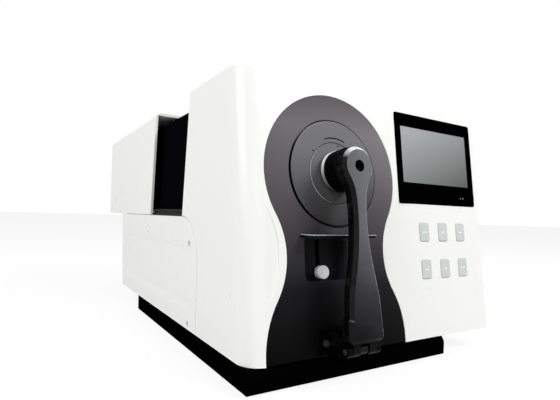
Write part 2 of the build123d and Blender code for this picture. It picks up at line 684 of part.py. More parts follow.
button_places = [(buttons_x + i * BUTTON_PITCH_X, buttons_s - j * BUTTON_PITCH_S / 2)
                 for j in (-1, 1) for i in (-1, 0, 1)]
flange_n = -WALL - BUTTON_FLANGE
for number, (cap_x, cap_s) in enumerate(button_places, start=1):
    with BuildPart() as button:
        with BuildSketch(face_plane(cap_x, cap_s, -WALL)):
            RectangleRounded(BUTTON_W, BUTTON_H, BUTTON_R)
        extrude(amount=WALL + BUTTON_PROUD)
        fillet(button.faces().sort_by(Axis.Y)[0].edges(), BUTTON_EDGE_R)
        with BuildSketch(face_plane(cap_x, cap_s, flange_n)):
            RectangleRounded(BUTTON_W + 2 * BUTTON_FLANGE, BUTTON_H + 2 * BUTTON_FLANGE, BUTTON_R)
        extrude(amount=BUTTON_FLANGE)
    save(button, f"button_{number}")

with BuildPart() as button_board:
    add(face_block((buttons_x - BOARD_X / 2, buttons_x + BOARD_X / 2),
                   (buttons_s - BOARD_S / 2, buttons_s + BOARD_S / 2), (BOARD_N - BOARD_T, BOARD_N),
                   BOARD_CORNER_R))
    for cap_x, cap_s in button_places:
        half = SWITCH_SIZE / 2
        add(face_block((cap_x - half, cap_x + half), (cap_s - half, cap_s + half),
                       (BOARD_N, BOARD_N + SWITCH_H)))
save(button_board, "button_board")

# Integrating sphere behind the port, in two halves on a cradle
SPHERE_WALL = 4.0
SPHERE_FRONT = 18.0
SPHERE_GAP = 6.9
FLANGE_LIP = 5.0
FLANGE_T = 3.0
TUBE_R = 17.0
TUBE_BORE = 15.0
TUBE_FIT = 0.2
TUBE_REACH = 6.0
CRADLE_X = 22.0
CRADLE_Y = 20.0
CRADLE_CLEAR = 2.93
CRADLE_DROP = 24.8
CRADLE_FIT = 0.05
AXIS_DROP = 87.6
EXIT_R = 13.0
LAMP_R = 9.0
LAMP_FIT = 0.2
LAMP_COLLAR = 4.0
LAMP_H = 26.0

# The sphere fills the room between the front panel and the chamber wall, along the leaning axis
chamber_axis_z = TOP_Z - AXIS_DROP
lean_sin = math.sin(LEAN)
lean_cos = math.cos(LEAN)
axis_rise = CASE_Z + PORT_S * lean_cos - SPHERE_FRONT * lean_sin - DECK_Z
sphere_room = (HOOD_DEPTH - WALL / lean_cos - axis_rise * math.tan(LEAN) - PORT_S * lean_sin
               - SPHERE_FRONT * lean_cos - FLANGE_LIP - SPHERE_GAP)
sphere_r = sphere_room / (1 + lean_cos - math.tan(LEAN) * lean_sin)
sphere_bore = sphere_r - SPHERE_WALL
sphere_n = -SPHERE_FRONT - sphere_r
sphere_centre = face_plane(PORT_X, PORT_S, sphere_n).origin
sphere_y = sphere_centre.Y - Y_FRONT
sphere_z = sphere_centre.Z
cradle_top = sphere_z - CRADLE_DROP
cradle_y = (sphere_y - CRADLE_Y, SEAM_DEPTH + SEAM_GAP - CRADLE_CLEAR)
chamber_wall_y = hood_y(chamber_axis_z) - Y_FRONT - WALL / math.cos(LEAN)


def sphere_half(side):
    """Half shell of the integrating sphere with its flange, above (1) or below (-1) the split."""
    with BuildPart() as half_shell:
        with BuildSketch(Plane(origin=sphere_centre)):
            Circle(sphere_r + FLANGE_LIP)
        extrude(amount=side * FLANGE_T)
        with Locations(sphere_centre):
            Sphere(sphere_r)
            Sphere(sphere_bore, mode=Mode.SUBTRACT)
        split(bisect_by=Plane(origin=sphere_centre, z_dir=(0, 0, side)), keep=Keep.TOP)
        add(face_rod(TUBE_R + TUBE_FIT, PORT_X, PORT_S, (sphere_n, 0)), mode=Mode.SUBTRACT)
        add(rod(EXIT_R + TUBE_FIT, (PORT_X, sphere_y, chamber_axis_z),
                (PORT_X, chamber_wall_y, chamber_axis_z)), mode=Mode.SUBTRACT)
        if side > 0:
            add(rod(LAMP_R, (PORT_X, sphere_y, sphere_z), (PORT_X, sphere_y, TOP_Z)), mode=Mode.SUBTRACT)
    return half_shell


save(sphere_half(1), "sphere_upper")
save(sphere_half(-1), "sphere_lower")

with BuildPart() as port_tube:
    add(face_rod(PORT_BASE_R, PORT_X, PORT_S, (panel_back_n - PORT_BASE_T, panel_back_n), TUBE_BORE))
    add(face_rod(TUBE_R, PORT_X, PORT_S, (-SPHERE_FRONT - TUBE_REACH, panel_back_n - PORT_BASE_T), TUBE_BORE))
save(port_tube, "port_tube")

with BuildPart() as flash_lamp:
    crown_z = sphere_z + sphere_r
    add(rod(LAMP_R - LAMP_FIT, (PORT_X, sphere_y, sphere_z + sphere_bore), (PORT_X, sphere_y, crown_z)))
    add(rod(LAMP_R + LAMP_COLLAR, (PORT_X, sphere_y, crown_z), (PORT_X, sphere_y, crown_z + LAMP_H)))
save(flash_lamp, "flash_lamp")

with BuildPart() as sphere_cradle:
    add(block((PORT_X - CRADLE_X, PORT_X + CRADLE_X), cradle_y, (CASE_Z + WALL, cradle_top)))
    add(block((PORT_X - CRADLE_X + WALL, PORT_X + CRADLE_X - WALL), (cradle_y[0] + WALL, cradle_y[1] - WALL),
              (CASE_Z, cradle_top)), mode=Mode.SUBTRACT)
    with Locations(sphere_centre):
        Sphere(sphere_r + CRADLE_FIT, mode=Mode.SUBTRACT)
save(sphere_cradle, "sphere_cradle")

# Rear casing
CASE_CORNER_R = 10.0
RECESS_DEPTH = 0.9
RECESS_SLOPE = 7.0
RECESS_FRONT = 15.0
RECESS_BACK = 31.0
RECESS_LOW = 18.7
RECESS_HIGH = 28.0
RECESS_R = 10.0
SCREW_BEHIND = 24.6
SCREW_LOW = 6.2
SCREW_HIGH = 27.9
SMALL_SCREW_BEHIND = 189.2
SMALL_SCREW_HIGH = 22.5
SMALL_SCREW_R = 1.9
SCREW_DIMPLE = 0.33
VENT_W = 3.0
VENT_L = 34.0
VENT_PITCH = 7.0
VENTS = 9
VENT_BACK = 88.0
VENT_LOW = 28.7
IO_X0 = 48.0
IO_X1 = 188.0
IO_S0 = 14.0
IO_S1 = 72.0
IO_LEDGE = 4.0
IO_T = 2.0
IO_FACE_OUT = 1.0
BOARD_STAND = 8.0
STAND_R = 3.5
STAND_IN = 8.0
BOARD_LEFT = 20.0
BOARD_RIGHT = 56.0
BOARD_BEHIND = 47.0
BOARD_BACK = 138.0

floor_z = CASE_Z + WALL
deck_top = DECK_Z - SEAM_GAP


def rear_plane(x, s, n=0.0):
    """Plane on the rear wall: x from the left side, s up its slope, n outwards."""
    lean = math.radians(REAR_LEAN)
    y = Y_REAR + s * math.sin(lean) + n * math.cos(lean)
    z = CASE_Z + s * math.cos(lean) - n * math.sin(lean)
    return Plane(origin=(X_LEFT + x, y, z), x_dir=(-1, 0, 0), z_dir=(0, math.cos(lean), -math.sin(lean)))


def rear_y(z):
    """Y of the leaning rear wall at a height."""
    return Y_REAR + (z - CASE_Z) * math.tan(math.radians(REAR_LEAN))


def casing_block(inset):
    """Casing behind the seam, set in on its outer faces, with the curved shoulder under the neck."""
    arc_r = SEAM_ARC_R - SEAM_GAP - inset
    arc_y = Y_SEAM + SEAM_ARC_R
    arc_z = DECK_Z - SEAM_ARC_R
    half_arc = arc_r * math.sqrt(0.5)
    with BuildPart() as casing:
        with BuildSketch(Plane.YZ.offset(X_LEFT + inset)):
            with BuildLine():
                Polyline((arc_y - arc_r, arc_z), (arc_y - arc_r, CASE_Z + inset),
                         (rear_y(CASE_Z + inset) - inset, CASE_Z + inset),
                         (rear_y(deck_top - inset) - inset, deck_top - inset), (arc_y, deck_top - inset))
                ThreePointArc((arc_y, arc_z + arc_r), (arc_y - half_arc, arc_z + half_arc),
                              (arc_y - arc_r, arc_z))
            make_face()
        extrude(amount=BODY_W - 2 * inset)
        corners = casing.faces().sort_by(Axis.Y)[-1].edges().sort_by(Axis.X)
        fillet([corners[0], corners[-1]], CASE_CORNER_R - inset)
    return casing.part


def side_recess(side_x, inward):
    """Shallow soft-edged recess in one side of the casing."""
    length = REAR_LENGTH - RECESS_BACK - SEAM_DEPTH - RECESS_FRONT
    height = DECK_Z - RECESS_HIGH - CASE_Z - RECESS_LOW
    with BuildPart() as recess:
        for depth, inset in ((0, 0), (RECESS_DEPTH, RECESS_SLOPE)):
            with BuildSketch(Plane.YZ.offset(X_LEFT + side_x + inward * depth)):
                with Locations((Y_SEAM + RECESS_FRONT + length / 2, CASE_Z + RECESS_LOW + height / 2)):
                    RectangleRounded(length - 2 * inset, height - 2 * inset, RECESS_R - inset)
        loft()
    return recess.part


def side_screw(side_x, inward, place, length):
    """Screw through one side of the casing: its head sunk in the wall and its shank inwards."""
    place_y, place_z, head_r = place
    head_x = side_x + inward * SCREW_HEAD_T
    with BuildPart() as screw:
        add(rod(head_r, (side_x, place_y, place_z), (head_x, place_y, place_z)))
        add(rod(SCREW_R, (head_x, place_y, place_z), (side_x + inward * length, place_y, place_z)))
    return screw.part


sides = ((0, 1), (BODY_W, -1))
board_x = (BOARD_LEFT, BODY_W - BOARD_RIGHT)
board_y = (SEAM_DEPTH + BOARD_BEHIND, REAR_LENGTH - BOARD_BACK)
stand_places = [(x, y) for x in (board_x[0] + STAND_IN, board_x[1] - STAND_IN)
                for y in (board_y[0] + STAND_IN, board_y[1] - STAND_IN)]
screw_places = ((SEAM_DEPTH + SCREW_BEHIND, CASE_Z + SCREW_LOW, SCREW_HEAD_R),
                (SEAM_DEPTH + SCREW_BEHIND, DECK_Z - SCREW_HIGH, SCREW_HEAD_R),
                (SEAM_DEPTH + SMALL_SCREW_BEHIND, DECK_Z - SMALL_SCREW_HIGH, SMALL_SCREW_R))

with BuildPart() as rear_casing:
    add(casing_block(0))
    add(casing_block(WALL), mode=Mode.SUBTRACT)
    add(block((WALL, BODY_W - WALL), (SEAM_DEPTH, SEAM_DEPTH + 3 * WALL),
              (CASE_Z + WALL, DECK_Z - SEAM_ARC_R)), mode=Mode.SUBTRACT)
    for side in sides:
        add(side_recess(*side), mode=Mode.SUBTRACT)
        for screw_place in screw_places:
            add(side_screw(*side, screw_place, WALL), mode=Mode.SUBTRACT)
    with BuildSketch(Plane.YZ.offset(X_LEFT + BODY_W)):
        with Locations((Y_FRONT + REAR_LENGTH - VENT_BACK, CASE_Z + VENT_LOW + VENT_L / 2)):
            with GridLocations(VENT_PITCH, 0, VENTS, 1):
                SlotOverall(VENT_L, VENT_W, rotation=90)
    extrude(amount=-WALL, mode=Mode.SUBTRACT)
    for stand_x, stand_y in stand_places:
        add(rod(STAND_R, (stand_x, stand_y, floor_z), (stand_x, stand_y, floor_z + BOARD_STAND)))
    with BuildSketch(rear_plane((IO_X0 + IO_X1) / 2, (IO_S0 + IO_S1) / 2, IO_FACE_OUT)):
        Rectangle(IO_X1 - IO_X0, IO_S1 - IO_S0)
    extrude(amount=-IO_T - IO_FACE_OUT, mode=Mode.SUBTRACT)
    with BuildSketch(rear_plane((IO_X0 + IO_X1) / 2, (IO_S0 + IO_S1) / 2)):
        Rectangle(IO_X1 - IO_X0 - 2 * IO_LEDGE, IO_S1 - IO_S0 - 2 * IO_LEDGE)
    extrude(amount=-2 * WALL, mode=Mode.SUBTRACT)
save(rear_casing, "rear_casing")

with BuildPart() as case_screws:
    for side_x, inward in sides:
        for screw_place in screw_places:
            add(side_screw(side_x, inward, screw_place, SCREW_L))
            y, z, head_r = screw_place
            add(rod(head_r * SCREW_DIMPLE, (side_x, y, z), (side_x + inward * SCREW_HEAD_T / 2, y, z)),
                mode=Mode.SUBTRACT)
    bracket_s = (BRACKET_S0 + BRACKET_S1) / 2
    for place_x in (PORT_X - screw_x, PORT_X + screw_x):
        add(face_rod(SCREW_R, place_x, bracket_s, (-PANEL_SINK, bracket_face)))
        add(face_rod(SCREW_HEAD_R, place_x, bracket_s, (bracket_face, bracket_face + SCREW_HEAD_T)))
save(case_screws, "case_screws")

# Connectors on the rear
INLET_X = 150.0
INLET_S = 43.0
INLET_W = 30.0
INLET_H = 24.0
INLET_R = 3.0
INLET_DEPTH = 18.0
INLET_PROUD = 2.0
INLET_PINS = ((-7.0, -2.0), (0.0, 2.0), (7.0, -2.0))
SOCKET_W = 24.0
SOCKET_H = 16.5
SOCKET_R = 2.0
SOCKET_DEPTH = 14.0
PIN_W = 2.0
PIN_H = 4.0
PIN_L = 12.0
ROCKER_X = 106.0
ROCKER_W = 13.0
ROCKER_H = 19.5
ROCKER_WALL = 2.5
ROCKER_FIT = 0.3
ROCKER_TILT = 7.0
ROCKER_R = 1.5
ROCKER_BACK_N = -2.0
ROCKER_BACK_HALF = 6.0
ROCKER_TIP_N = 6.5
ROCKER_TIP_HALF = 8.6
ROCKER_DIP_N = 4.5
FRAME_R = 1.0
USB_X = 74.0
USB_W = 12.5
USB_H = 11.5
USB_DEPTH = 14.0
USB_WALL = 1.5
USB_PROUD = 1.0
USB_TONGUE_N = -2.0


def rear_block(x, s, n, size, corner_r=0.0):
    """Block on the rear wall about a middle x and s, with its width and height, between two values of n."""
    with BuildPart() as solid:
        with BuildSketch(rear_plane(x, s, n[0])) as plan:
            Rectangle(*size)
            if corner_r:
                fillet(plan.vertices(), corner_r)
        extrude(amount=n[1] - n[0])
    return solid.part


frame_size = (ROCKER_W + 2 * ROCKER_WALL, ROCKER_H + 2 * ROCKER_WALL)
io_middle = ((IO_X0 + IO_X1) / 2, (IO_S0 + IO_S1) / 2)

with BuildPart() as rear_io_panel:
    add(rear_block(*io_middle, (-IO_T, 0), (IO_X1 - IO_X0, IO_S1 - IO_S0)))
    add(rear_block(INLET_X, INLET_S, (-IO_T, 0), (INLET_W, INLET_H), INLET_R), mode=Mode.SUBTRACT)
    add(rear_block(ROCKER_X, INLET_S, (-IO_T, 0), frame_size, FRAME_R), mode=Mode.SUBTRACT)
    add(rear_block(USB_X, INLET_S, (-IO_T, 0), (USB_W, USB_H)), mode=Mode.SUBTRACT)
save(rear_io_panel, "rear_io_panel")

with BuildPart() as power_inlet:
    add(rear_block(INLET_X, INLET_S, (-INLET_DEPTH, INLET_PROUD), (INLET_W, INLET_H), INLET_R))
    add(rear_block(INLET_X, INLET_S, (INLET_PROUD - SOCKET_DEPTH, INLET_PROUD), (SOCKET_W, SOCKET_H),
                   SOCKET_R), mode=Mode.SUBTRACT)
    for pin_x, pin_s in INLET_PINS:
        add(rear_block(INLET_X + pin_x, INLET_S + pin_s,
                       (INLET_PROUD - SOCKET_DEPTH, INLET_PROUD - SOCKET_DEPTH + PIN_L), (PIN_W, PIN_H)))
save(power_inlet, "power_inlet")

rocker_side = rear_plane(ROCKER_X, INLET_S, -ROCKER_WALL)


def across(half_width):
    """Plane square to the rocker's axle, at one side, with n along its first axis."""
    origin = rocker_side.origin - Vector(half_width, 0, 0)
    return Plane(origin=origin, x_dir=rocker_side.z_dir, z_dir=(1, 0, 0))


with BuildPart() as switch_frame:
    add(rear_block(ROCKER_X, INLET_S, (-INLET_DEPTH, INLET_PROUD), frame_size, FRAME_R))
    add(rear_block(ROCKER_X, INLET_S, (ROCKER_WALL - INLET_DEPTH, INLET_PROUD), (ROCKER_W, ROCKER_H)),
        mode=Mode.SUBTRACT)
    with BuildSketch(across(frame_size[0] / 2)):
        Circle(ROCKER_R + PIVOT_FIT)
    extrude(amount=frame_size[0], mode=Mode.SUBTRACT)
save(switch_frame, "switch_frame")

with BuildPart() as power_rocker:
    with BuildSketch(across(ROCKER_W / 2 - ROCKER_FIT)):
        with BuildLine():
            Polyline((ROCKER_BACK_N, -ROCKER_BACK_HALF), (ROCKER_TIP_N, -ROCKER_TIP_HALF), (ROCKER_DIP_N, 0),
                     (ROCKER_TIP_N, ROCKER_TIP_HALF), (ROCKER_BACK_N, ROCKER_BACK_HALF), close=True)
        make_face()
    extrude(amount=ROCKER_W - 2 * ROCKER_FIT)
    with BuildSketch(across(ROCKER_W / 2 + ROCKER_WALL / 2)):
        Circle(ROCKER_R)
    extrude(amount=ROCKER_W + ROCKER_WALL)
power_rocker.part = power_rocker.part.rotate(Axis(rocker_side.origin, (1, 0, 0)), ROCKER_TILT)
save(power_rocker, "power_rocker")

with BuildPart() as data_socket:
    add(rear_block(USB_X, INLET_S, (-USB_DEPTH, USB_PROUD), (USB_W, USB_H)))
    add(rear_block(USB_X, INLET_S, (USB_WALL - USB_DEPTH, USB_PROUD),
                   (USB_W - 2 * USB_WALL, USB_H - 2 * USB_WALL)), mode=Mode.SUBTRACT)
    add(rear_block(USB_X, INLET_S, (USB_WALL - USB_DEPTH, USB_TONGUE_N), (USB_W / 2, USB_H / 4)))
save(data_socket, "data_socket")

# Sliding lid over the sample chamber, on two grooved runners
TONGUE_W = 2.3
TONGUE_Z0 = 3.0
TONGUE_Z1 = 5.0
RUNNER_GAP = 0.5
RUNNER_W = 8.0
RUNNER_H = 8.0
GROOVE_D = 2.6
GROOVE_FIT = 0.25
RUNNER_START = 2.0
RUNNER_END = 2.0
LID_EDGE_R = 6.0

lid_back_deck = HOOD_DEPTH + LID_TRAVEL + LID_LENGTH
lid_back_lean = math.tan(math.radians(LID_REAR_LEAN))


def lid_outline(inset, front):
    """Outline of the lid from the side, set in on the top and rear and moved back at the front."""
    shift = LID_TRAVEL + LID_GAP + front
    top = TOP_Z - inset
    return [(hood_y(DECK_Z) - Y_FRONT + shift, DECK_Z), (lid_back_deck - inset, DECK_Z),
            (lid_back_deck - inset - (top - DECK_Z) * lid_back_lean, top),
            (hood_y(top) - Y_FRONT + shift, top)]


with BuildPart() as sliding_lid:
    add(side_prism(lid_outline(0, 0), (0, BODY_W)))
    back = sliding_lid.faces().sort_by(Axis.Y)[-1]
    top_edges = sliding_lid.faces().sort_by(Axis.Z)[-1].edges()
    fillet(back.edges().filter_by(lambda e: e.center().Z > DECK_Z + 1)
           + top_edges.filter_by(lambda e: abs(e.center().X - X_LEFT - BODY_W / 2) > 1), LID_EDGE_R)
    add(side_prism(lid_outline(WALL, -WALL), (WALL, BODY_W - WALL)), mode=Mode.SUBTRACT)
    tongue_y = (HOOD_DEPTH + LID_TRAVEL + LID_GAP, HOOD_DEPTH + LID_LENGTH - WALL)
    for x0 in (WALL, BODY_W - WALL - TONGUE_W):
        add(block((x0, x0 + TONGUE_W), tongue_y, (DECK_Z + TONGUE_Z0, DECK_Z + TONGUE_Z1)))
save(sliding_lid, "sliding_lid")

runner_y = (HOOD_DEPTH + RUNNER_START, HOOD_DEPTH + LID_LENGTH - WALL - RUNNER_END)
groove_z = (DECK_Z + TONGUE_Z0 - GROOVE_FIT, DECK_Z + TONGUE_Z1 + GROOVE_FIT)
with BuildPart() as lid_runners:
    for outer, turn in ((WALL + RUNNER_GAP, 1), (BODY_W - WALL - RUNNER_GAP, -1)):
        add(block(sorted((outer, outer + turn * RUNNER_W)), runner_y, (deck_top, deck_top + RUNNER_H)))
        add(block(sorted((outer, outer + turn * GROOVE_D)), runner_y, groove_z), mode=Mode.SUBTRACT)
save(lid_runners, "lid_runners")

# Sample chamber for transmission measurements
CHAMBER_X0 = 14.0
CHAMBER_X1 = BODY_W - CHAMBER_X0
CHAMBER_SHORT = 0.7
CHAMBER_DROP = 14.0
PORT_HOLE_R = 15.0
PORT_RING_R = 31.0
PORT_RING_BORE = 26.5
PORT_RING_T = 9.0
RAIL_HALF = 46.0
RAIL_FRONT = 7.8
RAIL_BACK = 3.2
RAIL_H = 8.0
RAIL_GROOVES = (-20.0, -15.5, 15.5, 20.0)
RAIL_GROOVE_W = 1.2
RAIL_GROOVE_D = 1.5
CARRIAGE_HALF = 20.0
CARRIAGE_BACK = 14.0
CARRIAGE_L = 28.0
CARRIAGE_H = 7.6
CARRIAGE_EDGE = 1.0
HOLDER_BACK = 17.0
HOLDER_T = 4.0
HOLDER_R = 33.0
HOLDER_CHORD = 19.0
WINDOW_W = 12.0
WINDOW_H = 22.0
WINDOW_DROP = 3.0
BAR_HALF = 26.0
BAR_T = 3.0
BAR_H = 4.0
CLIP_W = 20.0
CLIP_H = 13.0
CLIP_T = 5.0
CLIP_R = 2.0
CLIP_RIBS = 5
CLIP_RIB_W = 1.6
CLIP_RIB_D = 0.8
CUVETTE_W = 40.0
CUVETTE_T = 12.5
CUVETTE_H = 46.0
CUVETTE_WALL = 1.5
CUVETTE_FIT = 0.4
LIQUID_H = 34.0
LIQUID_FIT = 0.02
STEP_H = 6.0
CLAMP_Z = 5.0
CLAMP_BACK = 8.0
CLAMP_R = 5.0
CLAMP_L = 12.0
CLAMP_SHAFT_R = 2.0
CLAMP_GAP = 0.5
CLAMP_FLUTES = 12
CLAMP_FLUTE_R = 0.8
CLAMP_EDGE = 0.6
BARREL_R = 13.0
BARREL_FIT = 0.05
BARREL_WALL = 3.0
BARREL_REACH = 26.2
BARREL_BEHIND = 39.8
LENS_IN = 2.0
LENS_T = 3.0
COVER_SHORT = 19.6

chamber_top = TOP_Z - CHAMBER_DROP
chamber_end = HOOD_DEPTH + LID_TRAVEL - CHAMBER_SHORT
rail_y0 = HOOD_DEPTH + RAIL_FRONT
rail_y1 = chamber_end - WALL - RAIL_BACK
carriage_y0 = rail_y0 + CARRIAGE_BACK
carriage_y1 = carriage_y0 + CARRIAGE_L
holder_y0 = carriage_y0 + HOLDER_BACK
holder_y1 = holder_y0 + HOLDER_T
barrel_y0 = chamber_end - BARREL_REACH
barrel_y1 = chamber_end + BARREL_BEHIND
cover_y1 = HOOD_DEPTH + LID_LENGTH - COVER_SHORT
port_plane = Plane(origin=(X_LEFT + PORT_X, hood_y(chamber_axis_z), chamber_axis_z), x_dir=(1, 0, 0),
                   z_dir=(0, math.cos(LEAN), math.sin(LEAN)))


def parting(z, back=0.0):
    """Distance behind the front edge of the parting plane, moved back, at a height."""
    return hood_y(z) - Y_FRONT + back / math.cos(LEAN)


with BuildPart() as chamber_front_wall:
    add(side_prism([(parting(deck_top, -WALL), deck_top), (parting(deck_top), deck_top),
                    (parting(TOP_Z - WALL), TOP_Z - WALL), (parting(TOP_Z - WALL, -WALL), TOP_Z - WALL)],
                   (WALL, BODY_W - WALL)))
    with BuildSketch(port_plane):
        Circle(PORT_HOLE_R)
    extrude(amount=-2 * WALL, mode=Mode.SUBTRACT)
save(chamber_front_wall, "chamber_front_wall")

with BuildPart() as chamber_window:
    with BuildSketch(port_plane):
        Circle(PORT_HOLE_R)
    extrude(amount=-WALL)
save(chamber_window, "chamber_window")

with BuildPart() as chamber_port_ring:
    with BuildSketch(port_plane):
        Circle(PORT_RING_R)
        Circle(PORT_RING_BORE, mode=Mode.SUBTRACT)
    extrude(amount=PORT_RING_T)
    with BuildSketch(port_plane):
        Circle(PORT_RING_R)
        Circle(PORT_HOLE_R, mode=Mode.SUBTRACT)
    extrude(amount=WALL)
save(chamber_port_ring, "chamber_port_ring")

with BuildPart() as chamber_tub:
    add(side_prism([(parting(deck_top), deck_top), (chamber_end, deck_top), (chamber_end, chamber_top),
                    (parting(chamber_top), chamber_top)], (CHAMBER_X0, CHAMBER_X1)))
    add(block((CHAMBER_X0 + WALL, CHAMBER_X1 - WALL), (0, chamber_end - WALL), (deck_top + WALL, TOP_Z)),
        mode=Mode.SUBTRACT)
    add(rod(BARREL_R + BARREL_FIT, (PORT_X, chamber_end - WALL, chamber_axis_z),
            (PORT_X, chamber_end, chamber_axis_z)), mode=Mode.SUBTRACT)
save(chamber_tub, "chamber_tub")

rail_z = deck_top + WALL
rail_top = rail_z + RAIL_H
with BuildPart() as rail_bed:
    add(block((PORT_X - RAIL_HALF, PORT_X + RAIL_HALF), (rail_y0, rail_y1), (rail_z, rail_top)))
    for groove in RAIL_GROOVES:
        groove_x = PORT_X + groove
        add(block((groove_x - RAIL_GROOVE_W / 2, groove_x + RAIL_GROOVE_W / 2), (rail_y0, rail_y1),
                  (rail_top - RAIL_GROOVE_D, rail_top)), mode=Mode.SUBTRACT)
save(rail_bed, "rail_bed")

carriage_top = rail_top + CARRIAGE_H
cuvette_y = holder_y0 - CUVETTE_FIT - CUVETTE_T / 2
cuvette_z = carriage_top
clamp_x = PORT_X + CARRIAGE_HALF + STEP_H
clamp_y = holder_y0 - CLAMP_BACK
clamp_z = rail_top + CLAMP_Z
step_top = carriage_top + STEP_H
with BuildPart() as holder_carriage:
    add(block((PORT_X - CARRIAGE_HALF - STEP_H, PORT_X + CARRIAGE_HALF + STEP_H), (carriage_y0, carriage_y1),
              (rail_top, carriage_top)))
    for x0 in (-CARRIAGE_HALF - STEP_H, CARRIAGE_HALF + CUVETTE_FIT):
        add(block((PORT_X + x0, PORT_X + x0 + STEP_H - CUVETTE_FIT), (carriage_y0, holder_y0),
                  (carriage_top, step_top)))
    fronts = holder_carriage.edges().filter_by(Axis.X).group_by(Axis.Y)[0]
    chamfer(fronts.sort_by(Axis.Z)[-2:], CARRIAGE_EDGE)
    add(rod(CLAMP_SHAFT_R + PIVOT_FIT, (clamp_x - STEP_H, clamp_y, clamp_z), (clamp_x, clamp_y, clamp_z)),
        mode=Mode.SUBTRACT)
save(holder_carriage, "holder_carriage")

with BuildPart() as holder_disc:
    add(rod(HOLDER_R, (PORT_X, holder_y0, chamber_axis_z), (PORT_X, holder_y1, chamber_axis_z)))
    add(block((PORT_X - HOLDER_R, PORT_X + HOLDER_R), (holder_y0, holder_y1),
              (carriage_top, chamber_axis_z + HOLDER_CHORD)), mode=Mode.INTERSECT)
    with BuildSketch(Plane.XZ.offset(-(Y_FRONT + holder_y0))):
        with Locations((X_LEFT + PORT_X, chamber_axis_z - WINDOW_DROP)):
            Ellipse(WINDOW_W / 2, WINDOW_H / 2)
    extrude(amount=-(holder_y1 - holder_y0), mode=Mode.SUBTRACT)
save(holder_disc, "holder_disc")

chord_z = chamber_axis_z + HOLDER_CHORD
with BuildPart() as holder_bar:
    add(block((PORT_X - BAR_HALF, PORT_X + BAR_HALF), (holder_y0, holder_y0 + BAR_T),
              (chord_z, chord_z + BAR_H)))
save(holder_bar, "holder_bar")

with BuildPart() as spring_clip:
    add(block((PORT_X - CLIP_W / 2, PORT_X + CLIP_W / 2), (holder_y1, holder_y1 + CLIP_T),
              (chord_z - CLIP_H, chord_z), CLIP_R))
    clip_back = Plane.XZ.offset(-(Y_FRONT + holder_y1 + CLIP_T))
    with BuildSketch(clip_back):
        with Locations((X_LEFT + PORT_X, chord_z - CLIP_H / 2)):
            with GridLocations(2 * CLIP_RIB_W, 0, CLIP_RIBS, 1):
                Rectangle(CLIP_RIB_W, CLIP_H)
    extrude(amount=CLIP_RIB_D, mode=Mode.SUBTRACT)
save(spring_clip, "spring_clip")

with BuildPart() as cuvette:
    half_w = CUVETTE_W / 2
    half_t = CUVETTE_T / 2
    add(block((PORT_X - half_w, PORT_X + half_w), (cuvette_y - half_t, cuvette_y + half_t),
              (cuvette_z, cuvette_z + CUVETTE_H)))
    add(block((PORT_X - half_w + CUVETTE_WALL, PORT_X + half_w - CUVETTE_WALL),
              (cuvette_y - half_t + CUVETTE_WALL, cuvette_y + half_t - CUVETTE_WALL),
              (cuvette_z + CUVETTE_WALL, cuvette_z + CUVETTE_H)), mode=Mode.SUBTRACT)
save(cuvette, "cuvette")

with BuildPart() as sample_liquid:
    liquid_in = CUVETTE_WALL + LIQUID_FIT
    add(block((PORT_X - half_w + liquid_in, PORT_X + half_w - liquid_in),
              (cuvette_y - half_t + liquid_in, cuvette_y + half_t - liquid_in),
              (cuvette_z + CUVETTE_WALL, cuvette_z + CUVETTE_WALL + LIQUID_H)))
save(sample_liquid, "sample_liquid")

with BuildPart() as clamp_screw:
    add(rod(CLAMP_R, (clamp_x + CLAMP_GAP, clamp_y, clamp_z), (clamp_x + CLAMP_L, clamp_y, clamp_z)))
    chamfer(clamp_screw.faces().sort_by(Axis.X)[-1].edges(), CLAMP_EDGE)
    with BuildSketch(Plane.YZ.offset(X_LEFT + clamp_x + CLAMP_GAP)):
        with Locations((Y_FRONT + clamp_y, clamp_z)):
            with PolarLocations(CLAMP_R, CLAMP_FLUTES):
                Circle(CLAMP_FLUTE_R)
    extrude(amount=CLAMP_L, mode=Mode.SUBTRACT)
    add(rod(CLAMP_SHAFT_R, (clamp_x - STEP_H, clamp_y, clamp_z), (clamp_x + CLAMP_GAP, clamp_y, clamp_z)))
save(clamp_screw, "clamp_screw")

with BuildPart() as source_barrel:
    bore = BARREL_R - BARREL_WALL
    lens_y = barrel_y0 + LENS_IN
    add(rod(BARREL_R, (PORT_X, barrel_y0, chamber_axis_z), (PORT_X, barrel_y1, chamber_axis_z), bore))
    add(rod(bore, (PORT_X, lens_y, chamber_axis_z), (PORT_X, lens_y + LENS_T, chamber_axis_z)))
save(source_barrel, "source_barrel")

with BuildPart() as optics_cover:
    add(block((CHAMBER_X0, CHAMBER_X1), (chamber_end, cover_y1), (deck_top, chamber_top)))
    add(block((CHAMBER_X0 + WALL, CHAMBER_X1 - WALL), (0, cover_y1 - WALL), (0, chamber_top - WALL)),
        mode=Mode.SUBTRACT)
save(optics_cover, "optics_cover")

# Modules inside the casings
LAMP_HALF = 35.0
LAMP_L = 70.0
LAMP_UP = 30.0
LAMP_EDGE_R = 3.0
FINS = 7
FIN_PITCH = 8.0
FIN_GAP = 4.0
FIN_DEPTH = 12.0
SPECTRO_SIDE = 6.0
SPECTRO_RIGHT = 12.0
SPECTRO_L = 66.0
SPECTRO_CLEAR = 10.0
SPECTRO_H = 46.0
SPECTRO_R = 4.0
SLIT_TUBE_R = 7.0
SLIT_TUBE_L = 8.0
SUPPLY_X = (24.0, 128.0)
SUPPLY_BACK = 28.0
SUPPLY_L = 88.0
SUPPLY_H = 38.0
SUPPLY_R = 1.5
FLANGE_W = 8.0
FLANGE_H = 2.0
CHIP_H = 5.0
CHIPS = ((0.25, 0.235, 28.0), (0.625, 0.353, 20.0), (0.4375, 0.706, 34.0), (0.8125, 0.765, 14.0))

